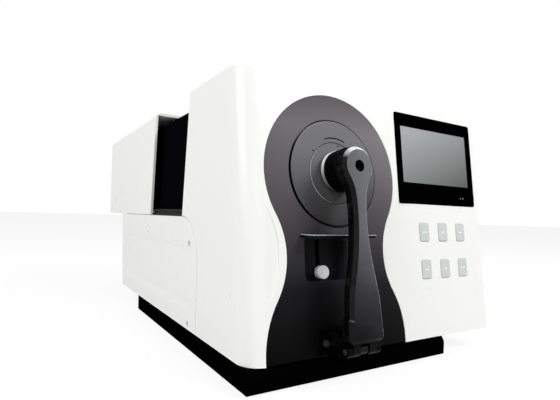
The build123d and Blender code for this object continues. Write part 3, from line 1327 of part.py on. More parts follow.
lamp_y1 = barrel_y1 + LAMP_L
lamp_top = chamber_axis_z + LAMP_UP
with BuildPart() as lamp_housing:
    add(block((PORT_X - LAMP_HALF, PORT_X + LAMP_HALF), (barrel_y1, lamp_y1), (deck_top, lamp_top),
              LAMP_EDGE_R))
    for i in range(FINS):
        fin_x = PORT_X + (i - (FINS - 1) / 2) * FIN_PITCH
        add(block((fin_x - FIN_GAP / 2, fin_x + FIN_GAP / 2), (barrel_y1, lamp_y1),
                  (lamp_top - FIN_DEPTH, lamp_top)), mode=Mode.SUBTRACT)
save(lamp_housing, "lamp_housing")

spectro_x = (BODY_W + SPECTRO_SIDE, FRONT_W - SPECTRO_RIGHT)
spectro_y1 = SEAM_DEPTH - WALL - SPECTRO_CLEAR
spectro_middle = ((spectro_x[0] + spectro_x[1]) / 2, spectro_y1 - SPECTRO_L / 2)
spectro_top = floor_z + SPECTRO_H
with BuildPart() as spectrometer_block:
    add(block(spectro_x, (spectro_y1 - SPECTRO_L, spectro_y1), (floor_z, spectro_top), SPECTRO_R))
    add(rod(SLIT_TUBE_R, (*spectro_middle, spectro_top), (*spectro_middle, spectro_top + SLIT_TUBE_L)))
save(spectrometer_block, "spectrometer_block")

board_top = floor_z + BOARD_STAND + BOARD_T
board_length = board_y[1] - board_y[0]
with BuildPart() as main_board:
    add(block(board_x, board_y, (board_top - BOARD_T, board_top), BOARD_CORNER_R))
    for share_x, share_y, chip_w in CHIPS:
        chip_x = board_x[0] + share_x * (board_x[1] - board_x[0])
        chip_y = board_y[0] + share_y * board_length
        add(block((chip_x - chip_w / 2, chip_x + chip_w / 2), (chip_y - chip_w / 2, chip_y + chip_w / 2),
                  (board_top, board_top + CHIP_H)))
save(main_board, "main_board")

supply_y = (REAR_LENGTH - SUPPLY_BACK - SUPPLY_L, REAR_LENGTH - SUPPLY_BACK)
with BuildPart() as power_supply:
    add(block(SUPPLY_X, supply_y, (floor_z, floor_z + SUPPLY_H), SUPPLY_R))
    add(block((SUPPLY_X[0] - FLANGE_W, SUPPLY_X[1] + FLANGE_W), supply_y, (floor_z, floor_z + FLANGE_H),
              SUPPLY_R))
save(power_supply, "power_supply")
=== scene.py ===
import logging
import math
from collections.abc import Callable
from dataclasses import dataclass, field
from enum import Enum

import bpy
from mathutils import Matrix, Vector


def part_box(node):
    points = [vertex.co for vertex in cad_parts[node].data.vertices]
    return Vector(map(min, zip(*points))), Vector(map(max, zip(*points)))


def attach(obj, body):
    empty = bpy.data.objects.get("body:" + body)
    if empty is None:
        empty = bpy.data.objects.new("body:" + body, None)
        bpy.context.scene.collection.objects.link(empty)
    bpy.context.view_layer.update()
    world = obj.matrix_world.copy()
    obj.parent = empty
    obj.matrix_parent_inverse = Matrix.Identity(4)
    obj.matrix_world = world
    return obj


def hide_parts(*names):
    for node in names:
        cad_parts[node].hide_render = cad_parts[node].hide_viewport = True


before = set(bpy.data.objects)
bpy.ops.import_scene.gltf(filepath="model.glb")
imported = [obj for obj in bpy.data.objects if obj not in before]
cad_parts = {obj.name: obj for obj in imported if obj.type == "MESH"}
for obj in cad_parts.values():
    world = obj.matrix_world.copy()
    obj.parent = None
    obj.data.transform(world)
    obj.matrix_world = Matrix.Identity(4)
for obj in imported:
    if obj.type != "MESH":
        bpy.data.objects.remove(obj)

log = logging.getLogger("spectrophotometer")

MM = 0.001
FRONT_LEAN = math.radians(7.45)

# Depth of a coating's grain and of a brushed line, and size of the slow unevenness of a coating
GRAIN_DEPTH = 0.2 * MM
LINE_DEPTH = 0.1 * MM
UNEVEN_MM = (60.0, 60.0, 60.0)

# Distances within which copied points are welded, count as on one level, and count as on a cut
WELD = 0.005 * MM
NEAR = 0.01 * MM
CUT = 0.001 * MM

# Angle under which neighbouring faces are one, cosine from which a face looks ahead, and the share of a bevel's
# depth within which points of its outline are joined
FLAT_ANGLE = math.radians(0.2)
FRONTAL = 0.99
MERGE_SHARE = 0.2

Colour = bpy.types.NodeSocket | tuple[float, float, float, float]


def linear(hex_colour: str) -> tuple[float, float, float, float]:
    """Turn an sRGB hex colour into a linear colour with full alpha.

    Args:
        hex_colour: six hex digits, without a leading mark.

    Returns:
        Linear red, green, blue and alpha.
    """
    channels = [int(hex_colour[i:i + 2], 16) / 255 for i in (0, 2, 4)]
    lin = [c / 12.92 if c <= 0.04045 else ((c + 0.055) / 1.055) ** 2.4 for c in channels]
    return (lin[0], lin[1], lin[2], 1.0)


def dimmed(colour: tuple[float, float, float, float], share: float) -> tuple[float, float, float, float]:
    """Take a share of a linear colour's light away.

    Args:
        colour: the colour.
        share: the share that goes, from 0 to 1.

    Returns:
        The darker colour.
    """
    return (colour[0] * (1 - share), colour[1] * (1 - share), colour[2] * (1 - share), 1.0)


def fill(node: bpy.types.Node, inputs: dict) -> None:
    """Set or link a node's inputs.

    Args:
        node: the node.
        inputs: values or output sockets, by input name or number.
    """
    for key, value in inputs.items():
        if isinstance(value, bpy.types.NodeSocket):
            node.id_data.links.new(value, node.inputs[key])
        else:
            node.inputs[key].default_value = value


def add_node(tree: bpy.types.NodeTree, kind: str, inputs: dict | None = None, **settings: object) -> bpy.types.Node:
    """Add a node, set its properties, and fill or link its inputs.

    Args:
        tree: the node tree that gets the node.
        kind: the node's type name.
        inputs: values or output sockets, by input name or number.
        settings: properties of the node.

    Returns:
        The new node.
    """
    node = tree.nodes.new(kind)
    for name, value in settings.items():
        setattr(node, name, value)
    fill(node, inputs or {})
    return node


def new_material(name: str) -> tuple[bpy.types.Material, bpy.types.NodeTree, bpy.types.Node]:
    """Make a material with nodes.

    Args:
        name: its name.

    Returns:
        The material, its node tree and its surface shader.
    """
    material = bpy.data.materials.new(name)
    material.use_nodes = True
    return material, material.node_tree, material.node_tree.nodes["Principled BSDF"]


def object_pattern(tree: bpy.types.NodeTree, feature_mm: tuple[float, float, float]) -> bpy.types.NodeSocket:
    """Coordinates on the object in which one unit is one feature of the pattern.

    Args:
        tree: the node tree of the material.
        feature_mm: real size of a feature along X, Y and Z, in millimetres.

    Returns:
        The vector output of the mapping.
    """
    place = add_node(tree, "ShaderNodeTexCoord").outputs["Object"]
    scale = [1 / (size * MM) for size in feature_mm]
    return add_node(tree, "ShaderNodeMapping", {"Vector": place, "Scale": scale}).outputs["Vector"]


def noise(tree: bpy.types.NodeTree, feature_mm: tuple[float, float, float], detail: float = 2.0,
          roughness: float = 0.5) -> bpy.types.NodeSocket:
    """Lay noise over the object.

    Args:
        tree: the node tree of the material.
        feature_mm: real size of a feature along X, Y and Z, in millimetres.
        detail: how many finer layers it has.
        roughness: how strong the finer layers are.

    Returns:
        The noise, from 0 to 1.
    """
    return add_node(tree, "ShaderNodeTexNoise", {"Vector": object_pattern(tree, feature_mm), "Scale": 1.0,
                                                 "Detail": detail, "Roughness": roughness}).outputs["Fac"]


def remap(tree: bpy.types.NodeTree, value: bpy.types.NodeSocket, ends: tuple[float, float],
          result: tuple[float, float] = (0.0, 1.0)) -> bpy.types.NodeSocket:
    """Map a value between two ends to a result between two others.

    Args:
        tree: the node tree.
        value: the value.
        ends: the value's two ends.
        result: what it gives at those ends.

    Returns:
        The result.
    """
    return add_node(tree, "ShaderNodeMapRange", {"Value": value, "From Min": ends[0], "From Max": ends[1],
                                                 "To Min": result[0], "To Max": result[1]}).outputs["Result"]


def blend(tree: bpy.types.NodeTree, share: bpy.types.NodeSocket | float, first: Colour, second: Colour,
          kind: str = "MIX") -> bpy.types.NodeSocket:
    """Mix two colours.

    Args:
        tree: the node tree.
        share: how much of the second colour shows, from 0 to 1.
        first: the first colour.
        second: the second colour.
        kind: Blender's name for the way of mixing.

    Returns:
        The mixed colour.
    """
    return add_node(tree, "ShaderNodeMix", {0: share, 6: first, 7: second}, data_type="RGBA",
                    blend_type=kind).outputs[2]


def split_where(tree: bpy.types.NodeTree, value: bpy.types.NodeSocket, limit: float, below: Colour,
                above: Colour) -> bpy.types.NodeSocket:
    """Take one colour where a value is over a limit and another elsewhere.

    Args:
        tree: the node tree.
        value: the value.
        limit: the limit.
        below: colour up to the limit.
        above: colour over the limit.

    Returns:
        The colour.
    """
    over = add_node(tree, "ShaderNodeMath", {0: value, 1: limit}, operation="GREATER_THAN").outputs[0]
    return blend(tree, over, below, above)


def along(tree: bpy.types.NodeTree, vector: bpy.types.NodeSocket, way: tuple[float, float, float],
          ) -> bpy.types.NodeSocket:
    """How far a vector reaches in a direction.

    Args:
        tree: the node tree.
        vector: the vector.
        way: the direction.

    Returns:
        Their dot product.
    """
    return add_node(tree, "ShaderNodeVectorMath", {0: vector, 1: way}, operation="DOT_PRODUCT").outputs["Value"]


def raised(tree: bpy.types.NodeTree, height: bpy.types.NodeSocket, strength: float, depth: float,
           ) -> bpy.types.NodeSocket:
    """Turn a pattern into the relief of a surface.

    Args:
        tree: the node tree.
        height: the pattern.
        strength: how much of the relief shows, from 0 to 1.
        depth: the relief's depth in metres.

    Returns:
        The surface's normal.
    """
    return add_node(tree, "ShaderNodeBump", {"Height": height, "Strength": strength,
                                             "Distance": depth}).outputs["Normal"]


class Direction(Enum):
    """Size in millimetres of a brushed surface's lines, by the way in which they run."""

    ALONG_X = (40.0, 0.35, 0.35)
    ALONG_Y = (0.35, 40.0, 0.35)


@dataclass(frozen=True)
class Coated:
    """Painted, lacquered or moulded surface with a fine grain and a slight unevenness of gloss."""

    name: str
    colour: str
    roughness: float
    grain_mm: float = 0.8
    relief: float = 0.05
    spread: float = 0.06
    tint: float = 0.03
    metallic: float = 0.0
    sheen_level: float = 0.5

    def make(self) -> bpy.types.Material:
        """Build the material.

        Returns:
            The material.
        """
        material, tree, shader = new_material(self.name)
        fine = noise(tree, (self.grain_mm,) * 3)
        broad = noise(tree, UNEVEN_MM, detail=3.0)
        base = linear(self.colour)
        glosses = (self.roughness - self.spread / 2, self.roughness + self.spread / 2)
        fill(shader, {"Base Color": blend(tree, broad, dimmed(base, self.tint), base),
                      "Roughness": remap(tree, broad, (0.3, 0.7), glosses),
                      "Normal": raised(tree, fine, self.relief, GRAIN_DEPTH),
                      "Metallic": self.metallic, "Specular IOR Level": self.sheen_level})
        return material


@dataclass(frozen=True)
class LightPaintedLacquer:
    """Satin lacquer with painted light and shade: by height, on bevels, on side walls and in pits.

    Colours by height are pairs of a height in millimetres and a colour, dimmed towards the left by painted shade.
    What looks to the front is a face, what turns from it by more than front_facing is a bevel, and by more than
    bevel_facing a side wall; both are cosines. A bevel carries a painted highlight, brightest where it turns to
    bevel_lit, and a side wall painted shade. A hollow lower than pit_mm on the front is painted dark as shade.
    """

    name: str
    painted_light_tones: tuple[tuple[float, str], ...]
    across_mm: tuple[float, float] = (-150.0, 60.0)
    painted_left_shade: float = 1.0
    bevel: str | None = None
    bevel_lit: tuple[float, float, float] = (0.45, -0.3, 0.8)
    bevel_ends: tuple[float, float] = (0.2, 0.6)
    bevel_unlit: str | None = None
    flank_painted_shade: str | None = None
    pit_mm: float | None = None
    pit: str = "020203"
    front_facing: float = 0.9
    bevel_facing: float = 0.35
    roughness: float = 0.42
    sheen_level: float = 0.04
    grain_mm: float = 0.9
    relief: float = 0.08

    def painted_light_by_height(self, tree: bpy.types.NodeTree, place: bpy.types.NodeSocket) -> bpy.types.NodeSocket:
        """Painted light and shade by height, with painted shade towards the left.

        Args:
            tree: the node tree.
            place: the place on the object.

        Returns:
            The colour.
        """
        split = add_node(tree, "ShaderNodeSeparateXYZ", {0: place})
        low, high = self.painted_light_tones[0][0], self.painted_light_tones[-1][0]
        # Painted light and shade by height
        ramp = add_node(tree, "ShaderNodeValToRGB", {0: remap(tree, split.outputs["Z"], (low * MM, high * MM))})
        first, last = ramp.color_ramp.elements[0], ramp.color_ramp.elements[1]
        first.color, last.color = linear(self.painted_light_tones[0][1]), linear(self.painted_light_tones[-1][1])
        for height, tone in self.painted_light_tones[1:-1]:
            ramp.color_ramp.elements.new((height - low) / (high - low)).color = linear(tone)
        # Painted shade that dims the colour towards the left
        ends = (self.across_mm[0] * MM, self.across_mm[1] * MM)
        level = remap(tree, split.outputs["X"], ends, (self.painted_left_shade, 1.0))
        return blend(tree, 1.0, ramp.outputs["Color"], level, "MULTIPLY")

    def make(self) -> bpy.types.Material:
        """Build the material.

        Returns:
            The material.
        """
        material, tree, shader = new_material(self.name)
        place = add_node(tree, "ShaderNodeTexCoord").outputs["Object"]
        normal = add_node(tree, "ShaderNodeNewGeometry").outputs["True Normal"]
        front = Face()
        facing = along(tree, normal, tuple(front.out))
        # Painted light and shade by height and towards the left
        plain = colour = self.painted_light_by_height(tree, place)
        # Painted highlight on bevels that turn to the light's direction, painted shade or the plain colour on the
        # others
        if self.bevel:
            turned = remap(tree, along(tree, normal, self.bevel_lit), self.bevel_ends)
            unlit = linear(self.bevel_unlit) if self.bevel_unlit else plain
            colour = split_where(tree, facing, self.front_facing, blend(tree, turned, unlit, linear(self.bevel)),
                                 colour)
        # Painted shade on side walls
        if self.flank_painted_shade:
            colour = split_where(tree, facing, self.bevel_facing, linear(self.flank_painted_shade), colour)
        # Painted shade in hollows below the front face
        if self.pit_mm is not None:
            level = front.origin.dot(front.out) + self.pit_mm * MM
            colour = split_where(tree, along(tree, place, tuple(front.out)), level, linear(self.pit), colour)
        fine = noise(tree, (self.grain_mm,) * 3)
        fill(shader, {"Base Color": colour, "Normal": raised(tree, fine, self.relief, GRAIN_DEPTH),
                      "Roughness": self.roughness, "Specular IOR Level": self.sheen_level})
        return material


@dataclass(frozen=True)
class Brushed:
    """Bare metal with the fine parallel lines that an abrasive belt leaves."""

    name: str
    colour: str
    roughness: float
    direction: Direction
    relief: float = 0.12
    tint: float = 0.14
    spread: float = 0.16

    def make(self) -> bpy.types.Material:
        """Build the material.

        Returns:
            The material.
        """
        material, tree, shader = new_material(self.name)
        lines = noise(tree, self.direction.value, detail=4.0, roughness=0.7)
        base = linear(self.colour)
        glosses = (self.roughness - self.spread / 2, self.roughness + self.spread / 2)
        fill(shader, {"Base Color": blend(tree, lines, dimmed(base, self.tint), base),
                      "Roughness": remap(tree, lines, (0.25, 0.75), glosses),
                      "Normal": raised(tree, lines, self.relief, LINE_DEPTH), "Metallic": 1.0})
        return material


@dataclass(frozen=True)
class Glass:
    """Clear or tinted glass or liquid, with faint streaks so that its faces read."""

    name: str
    colour: str
    ior: float
    roughness: float = 0.02
    streaked: float = 0.05
    streak_mm: tuple[float, float, float] = (8.0, 8.0, 20.0)
    body: float = 0.0

    def make(self) -> bpy.types.Material:
        """Build the material.

        Returns:
            The material.
        """
        material, tree, shader = new_material(self.name)
        streaks = noise(tree, self.streak_mm, detail=1.0)
        fill(shader, {"Roughness": remap(tree, streaks, (0.0, 1.0), (self.roughness, self.streaked)),
                      "Base Color": linear(self.colour), "IOR": self.ior, "Transmission Weight": 1.0 - self.body})
        return material


@dataclass(frozen=True)
class ScreenPanel:
    """Unlit display under its cover glass, with a painted reflection that makes it paler towards the upper left."""

    name: str
    pale: str
    deep: str
    node: str
    across: float = 0.45
    down: float = 0.55
    roughness: float = 0.25
    coat: float = 0.3
    coat_roughness: float = 0.05

    def make(self) -> bpy.types.Material:
        """Build the material.

        Returns:
            The material.
        """
        low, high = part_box(self.node)
        material, tree, shader = new_material(self.name)
        split = add_node(tree, "ShaderNodeSeparateXYZ", {0: add_node(tree, "ShaderNodeTexCoord").outputs["Object"]})
        # Painted reflection on the glass, strongest at the upper left
        across = remap(tree, split.outputs["X"], (low.x, high.x), (0.0, self.across))
        down = remap(tree, split.outputs["Z"], (high.z, low.z), (0.0, self.down))
        both = add_node(tree, "ShaderNodeMath", {0: across, 1: down}, operation="ADD").outputs[0]
        fill(shader, {"Base Color": blend(tree, both, linear(self.pale), linear(self.deep)),
                      "Roughness": self.roughness, "Coat Weight": self.coat, "Coat Roughness": self.coat_roughness})
        return material


@dataclass(frozen=True)
class Board:
    """Green solder mask over copper tracks."""

    name: str
    colour: str
    track: str
    track_mm: float = 3.0
    track_share: float = 0.06
    roughness: float = 0.35

    def make(self) -> bpy.types.Material:
        """Build the material.

        Returns:
            The material.
        """
        material, tree, shader = new_material(self.name)
        cells = add_node(tree, "ShaderNodeTexBrick", {"Vector": object_pattern(tree, (self.track_mm,) * 3),
                                                      "Scale": 1.0,
                                                      "Color1": linear(self.colour), "Color2": linear(self.colour),
                                                      "Mortar": linear(self.track), "Mortar Size": self.track_share})
        fill(shader, {"Base Color": cells.outputs["Color"], "Roughness": self.roughness})
        return material


@dataclass(frozen=True)
class Lens:
    """Small clear lens of a status lamp that is off."""

    name: str
    colour: str
    glosses: tuple[float, float] = (0.1, 0.25)
    swirl_mm: float = 1.0

    def make(self) -> bpy.types.Material:
        """Build the material.

        Returns:
            The material.
        """
        material, tree, shader = new_material(self.name)
        swirl = noise(tree, (self.swirl_mm,) * 3)
        fill(shader, {"Roughness": remap(tree, swirl, (0.0, 1.0), self.glosses), "Base Color": linear(self.colour)})
        return material


Finish = Coated | LightPaintedLacquer | Brushed | Glass | ScreenPanel | Board | Lens

# Satin two-pack paint on moulded covers: white with a soft sheen and a barely visible orange peel
WHITE_PAINT = Coated("satin_white_paint", "f6f7f5", 0.3, grain_mm=1.2, relief=0.03, tint=0.01)
# Black paint on the sheet-metal plinth: so deep that it shows no form
PLINTH_PAINT = Coated("deep_black_paint", "030303", 0.5, grain_mm=1.0, relief=0.15, sheen_level=0.0)
# Charcoal lacquer of the front panel with painted light and shade: mid grey round the port, taken close to black at
# the foot and dimmer at the left by painted shade
PANEL_LIGHT_PAINTED_LACQUER = LightPaintedLacquer("panel_lacquer_painted_light", ((24, "020202"), (40, "0e0d0e"), (80, "211f22"), (118, "474548"),
                                         (180, "736f72"), (225, "858285"), (266, "5a5759")), painted_left_shade=0.6)
# Same lacquer on the port's disc with painted light: lighter round the port and higher up, a painted highlight on
# its bevel, painted shade on its side walls and black painted shade in its notch and pin hole
DISC_LIGHT_PAINTED_LACQUER = LightPaintedLacquer("port_disc_lacquer_painted_light", ((120, "2a292b"), (165, "5a595b"), (205, "7b7a7d")), painted_left_shade=0.85,
                      bevel="a9a9ab", flank_painted_shade="08080a", pit_mm=0.8)
# Same lacquer on the aperture ring with painted light: paler higher up, a painted highlight that shows its left edge
# as a pale line, and painted shade on its side walls and in its hollows
RING_LIGHT_PAINTED_LACQUER = LightPaintedLacquer("aperture_ring_lacquer_painted_light", ((140, "3a393b"), (170, "5c5b5d"), (205, "7b7a7d")),
                      painted_left_shade=0.85, bevel="b4b5b7", bevel_lit=(-1.0, -0.1, -0.25), flank_painted_shade="08080a", pit_mm=0.8)
# Grey lacquer of the arm with painted light: a painted highlight that makes it silvery at the head, painted shade
# that takes it near black at the foot and dims its left, bright painted highlights and dark painted shade on the
# bevels, and painted shade that makes the side walls black
ARM_LIGHT_PAINTED_LACQUER = LightPaintedLacquer("arm_lacquer_painted_light", ((28, "08080a"), (50, "1e1e21"), (84, "3f3e41"), (135, "707073"),
                                     (200, "78797b")), across_mm=(-78.0, -42.0), painted_left_shade=0.62,
                     bevel="d3d4d6", bevel_unlit="1b1a1b", flank_painted_shade="030304")
# Black lacquer of the hub and the bracket: deep, with hardly a sheen
BLACK_LACQUER = Coated("black_lacquer", "020203", 0.45, grain_mm=0.9, relief=0.05, sheen_level=0.03)
# Black lacquer on the shelf's faces: a little paler than the panel's foot
SHELF_LACQUER = Coated("shelf_lacquer", "0c0c0d", 0.4, grain_mm=0.9, relief=0.05, sheen_level=0.08)
# Painted highlight on the shelf's rounded edge: the lacquer painted pale where it would catch the light
SHELF_PAINTED_HIGHLIGHT = Coated("shelf_edge_painted_highlight", "a4a6a8", 0.35, grain_mm=0.9, relief=0.05)
# Pocket's moulded liner: black ABS with a soft grey bloom
POCKET_ABS = Coated("pocket_abs", "262528", 0.55, grain_mm=0.9, relief=0.1, sheen_level=0.06)
# Moulded black ABS: even, slightly dull
BLACK_ABS = Coated("black_abs", "040405", 0.5, grain_mm=0.9, relief=0.12, sheen_level=0.05)
# Flock-black paint of the optical chamber: swallows light
CHAMBER_BLACK = Coated("optical_black_paint", "08070a", 0.6, grain_mm=0.8, relief=0.15, sheen_level=0.0)
# Black acrylic cover of the display: flat and deep
BLACK_ACRYLIC = Coated("black_acrylic", "010101", 0.25, grain_mm=3.0, relief=0.0, spread=0.03, sheen_level=0.0)
# Pale grey silicone keys: dull and smooth
KEY_RUBBER = Coated("key_silicone", "ced2d1", 0.5, grain_mm=0.7, relief=0.05)
# Legends printed on the keys, a little paler than the keys
KEY_INK = Coated("key_ink", "f2f4f3", 0.5, grain_mm=0.7, relief=0.02)
# Moulded black rubber of the feet: dull and grainy
FOOT_RUBBER = Coated("foot_rubber", "0a0a0b", 0.75, grain_mm=0.8, relief=0.2, sheen_level=0.1)
# Oil-blackened spring steel: dark wire with a metal glint
SPRING_STEEL = Coated("blackened_spring_steel", "1c1c1f", 0.35, grain_mm=0.6, relief=0.05, metallic=0.8)
# Turned aluminium ring of the sample pad at the hub's base with painted light: a pale painted highlight at its top,
# fading to near-black painted shade at its foot
PAD_PAINTED_HIGHLIGHT = LightPaintedLacquer("turned_pad_painted_highlight", ((166, "161618"), (180, "8a8b8d"), (194, "f0f0f2")), roughness=0.35,
                       sheen_level=0.2)
# Barium sulphate coating inside the sphere: dead white
SPHERE_WHITE = Coated("diffuse_white", "e6e6e4", 0.85, grain_mm=0.6, relief=0.15)
# Zinc-plated steel of screws and pins: a cool, even glint
ZINC = Coated("zinc_plate", "b9bcc0", 0.28, grain_mm=0.8, relief=0.04, metallic=1.0)
# Satin chrome of the selector knob: an even silver
CHROME = Coated("satin_chrome", "f2f4f5", 0.35, grain_mm=2.0, relief=0.0, spread=0.04)
# Aluminium of the rail, drawn along its length: pale, with long streaks
RAIL_ALUMINIUM = Brushed("brushed_rail_aluminium", "c8cbcd", 0.34, Direction.ALONG_Y)
# Aluminium of plates and housings, brushed across: mid grey, softly streaked
PLATE_ALUMINIUM = Brushed("brushed_plate_aluminium", "9da0a3", 0.4, Direction.ALONG_X)
# Brushed stainless steel of the holder bar and clip: darker than the rail, with sharp ribs of light
HOLDER_STEEL = Brushed("brushed_holder_steel", "a3a6a9", 0.32, Direction.ALONG_X)
# Optical glass of the cuvette and window: clear, seen by its edges alone
CUVETTE_GLASS = Glass("optical_glass", "fdfdf8", 1.47)
# Yellow test liquid: bright and see-through
YELLOW_LIQUID = Glass("yellow_liquid", "f7d514", 1.34, body=0.35)
# Cover glass of the unlit display: grey, with a painted reflection that makes it paler towards the upper left
SCREEN_PAINTED_REFLECTION = ScreenPanel("unlit_screen_painted_reflection", "a5a9a9", "2a2e2d", "display_screen")
# Clear lens of a status lamp that is off: a dull olive dot
STATUS_LENS = Lens("status_lens", "6f7a52")
# Solder mask of the circuit boards: deep green with paler tracks
GREEN_BOARD = Board("green_solder_mask", "0f5a33", "1b7a48")


class Wardrobe:
    """Makes each finish once and puts it on objects."""

    def __init__(self) -> None:
        """Start with no materials made."""
        self.made: dict[str, bpy.types.Material] = {}

    def get(self, finish: Finish) -> bpy.types.Material:
        """Return the material of a finish, made at its first use.

        Args:
            finish: one of the finishes above.

        Returns:
            Its material.
        """
        if finish.name not in self.made:
            self.made[finish.name] = finish.make()
        return self.made[finish.name]

    def wear(self, piece: bpy.types.Object, finish: Finish) -> None:
        """Replace all of an object's materials by one finish.

        Args:
            piece: the object.
            finish: the finish that it gets.
        """
        piece.data.materials.clear()
        piece.data.materials.append(self.get(finish))

    def dress(self, nodes: dict[str, Finish]) -> None:
        """Give CAD nodes their finishes.

        Args:
            nodes: finish by node name.
        """
        for node, finish in nodes.items():
            self.wear(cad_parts[node], finish)
            log.info("dressed %s in %s", node, finish.name)


WARDROBE = Wardrobe()


class Face:
    """The leaning front, with x from the left side, s up the slope and n outwards, in metres."""

    def __init__(self) -> None:
        """Take the front's lower left corner from the housing."""
        low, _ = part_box("front_housing")
        self.origin = Vector((low.x, low.y, low.z))
        self.up = Vector((0, math.sin(FRONT_LEAN), math.cos(FRONT_LEAN)))
        self.out = Vector((0, -math.cos(FRONT_LEAN), math.sin(FRONT_LEAN)))

    def matrix(self, place: Vector) -> Matrix:
        """Turn and place an object made flat on XY so that it lies on the front.

        Args:
            place: where its origin goes.

        Returns:
            The object's matrix.
        """
        turn = Matrix((Vector((1, 0, 0)), self.up, self.out)).transposed().to_4x4()
        return Matrix.Translation(place) @ turn

    def at(self, across_mm: float, up_mm: float, out_mm: float) -> Vector:
        """Point on the front.

        Args:
            across_mm: distance from the left side.
            up_mm: distance up the slope.
            out_mm: distance outwards.

        Returns:
            The point, in metres.
        """
        return self.origin + (Vector((across_mm, 0, 0)) + self.up * up_mm + self.out * out_mm) * MM

    def on_top_of(self, node: str, lift: float) -> Vector:
        """Middle of a node's outer face.

        Args:
            node: name of the node, a plate that lies along the front.
            lift: distance above that face.

        Returns:
            The point.
        """
        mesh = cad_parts[node].data
        reach = max(vertex.co.dot(self.out) for vertex in mesh.vertices)
        low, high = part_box(node)
        middle = (low + high) / 2
        return middle + self.out * (reach - middle.dot(self.out) + lift)


def start() -> None:
    """Leave edit mode's old choice behind, so that operators act on the new piece alone."""
    bpy.ops.object.select_all(action="DESELECT")


def settle(piece: bpy.types.Object, name: str, body: str, finish: Finish, smooth: float = 35.0) -> bpy.types.Object:
    """Put a piece's place in its mesh, shade it, dress it and let it ride.

    Args:
        piece: the new piece.
        name: its name.
        body: the CAD body that it moves with.
        finish: its finish.
        smooth: angle in degrees under which edges are shaded smooth.

    Returns:
        The piece.
    """
    piece.name = name
    piece.data.name = name
    start()
    piece.select_set(True)
    bpy.context.view_layer.objects.active = piece
    bpy.ops.object.transform_apply(location=True, rotation=True, scale=True)
    bpy.ops.object.shade_smooth_by_angle(angle=math.radians(smooth))
    WARDROBE.wear(piece, finish)
    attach(piece, body)
    log.info("made %s on %s", name, body)
    return piece


def copy_of(node: str) -> bpy.types.Object:
    """Copy a CAD node with a mesh of its own, its flat faces each made one, and leave it the only chosen object.

    Args:
        node: the node's name.

    Returns:
        The copy.
    """
    start()
    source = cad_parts[node]
    piece = bpy.data.objects.new(f"{node}_copy", source.data.copy())
    bpy.context.scene.collection.objects.link(piece)
    piece.matrix_world = source.matrix_world
    piece.select_set(True)
    bpy.context.view_layer.objects.active = piece
    bpy.ops.object.mode_set(mode="EDIT")
    bpy.ops.mesh.select_all(action="SELECT")
    bpy.ops.mesh.remove_doubles(threshold=WELD)
    bpy.ops.mesh.dissolve_limited(angle_limit=FLAT_ANGLE)
    bpy.ops.object.mode_set(mode="OBJECT")
    return piece


def select_in(piece: bpy.types.Object, faces: set[int], points: set[int]) -> None:
    """Go into edit mode with only some faces, or only some points, chosen.

    Args:
        piece: the active object, in object mode.
        faces: numbers of the faces, or none.
        points: numbers of the points, used where no faces are given.
    """
    mesh = piece.data
    for edge in mesh.edges:
        edge.select = False
    for polygon in mesh.polygons:
        polygon.select = polygon.index in faces
    for vertex in mesh.vertices:
        vertex.select = vertex.index in points
    bpy.context.tool_settings.mesh_select_mode = (not faces, False, bool(faces))
    bpy.ops.object.mode_set(mode="EDIT")


def points_where(piece: bpy.types.Object, test: Callable[[Vector], bool] | None) -> set[int]:
    """Points of a mesh that pass a test.

    Args:
        piece: the object, in object mode.
        test: the test of a point's place. Without one, no point passes.

    Returns:
        The points' numbers.
    """
    return {point.index for point in piece.data.vertices if test and test(point.co)}


def level_points(piece: bpy.types.Object, out: Vector, level: float) -> set[int]:
    """Points of a mesh at one distance along a direction.

    Args:
        piece: the object, in object mode.
        out: the direction.
        level: the distance.

    Returns:
        The points' numbers.
    """
    return points_where(piece, lambda place: abs(place.dot(out) - level) < NEAR)


def front_faces(piece: bpy.types.Object) -> set[int]:
    """Faces of a mesh that look along +Z.

    Args:
        piece: the object, in object mode.

    Returns:
        The faces' numbers.
    """
    return {polygon.index for polygon in piece.data.polygons if polygon.normal.z > FRONTAL}


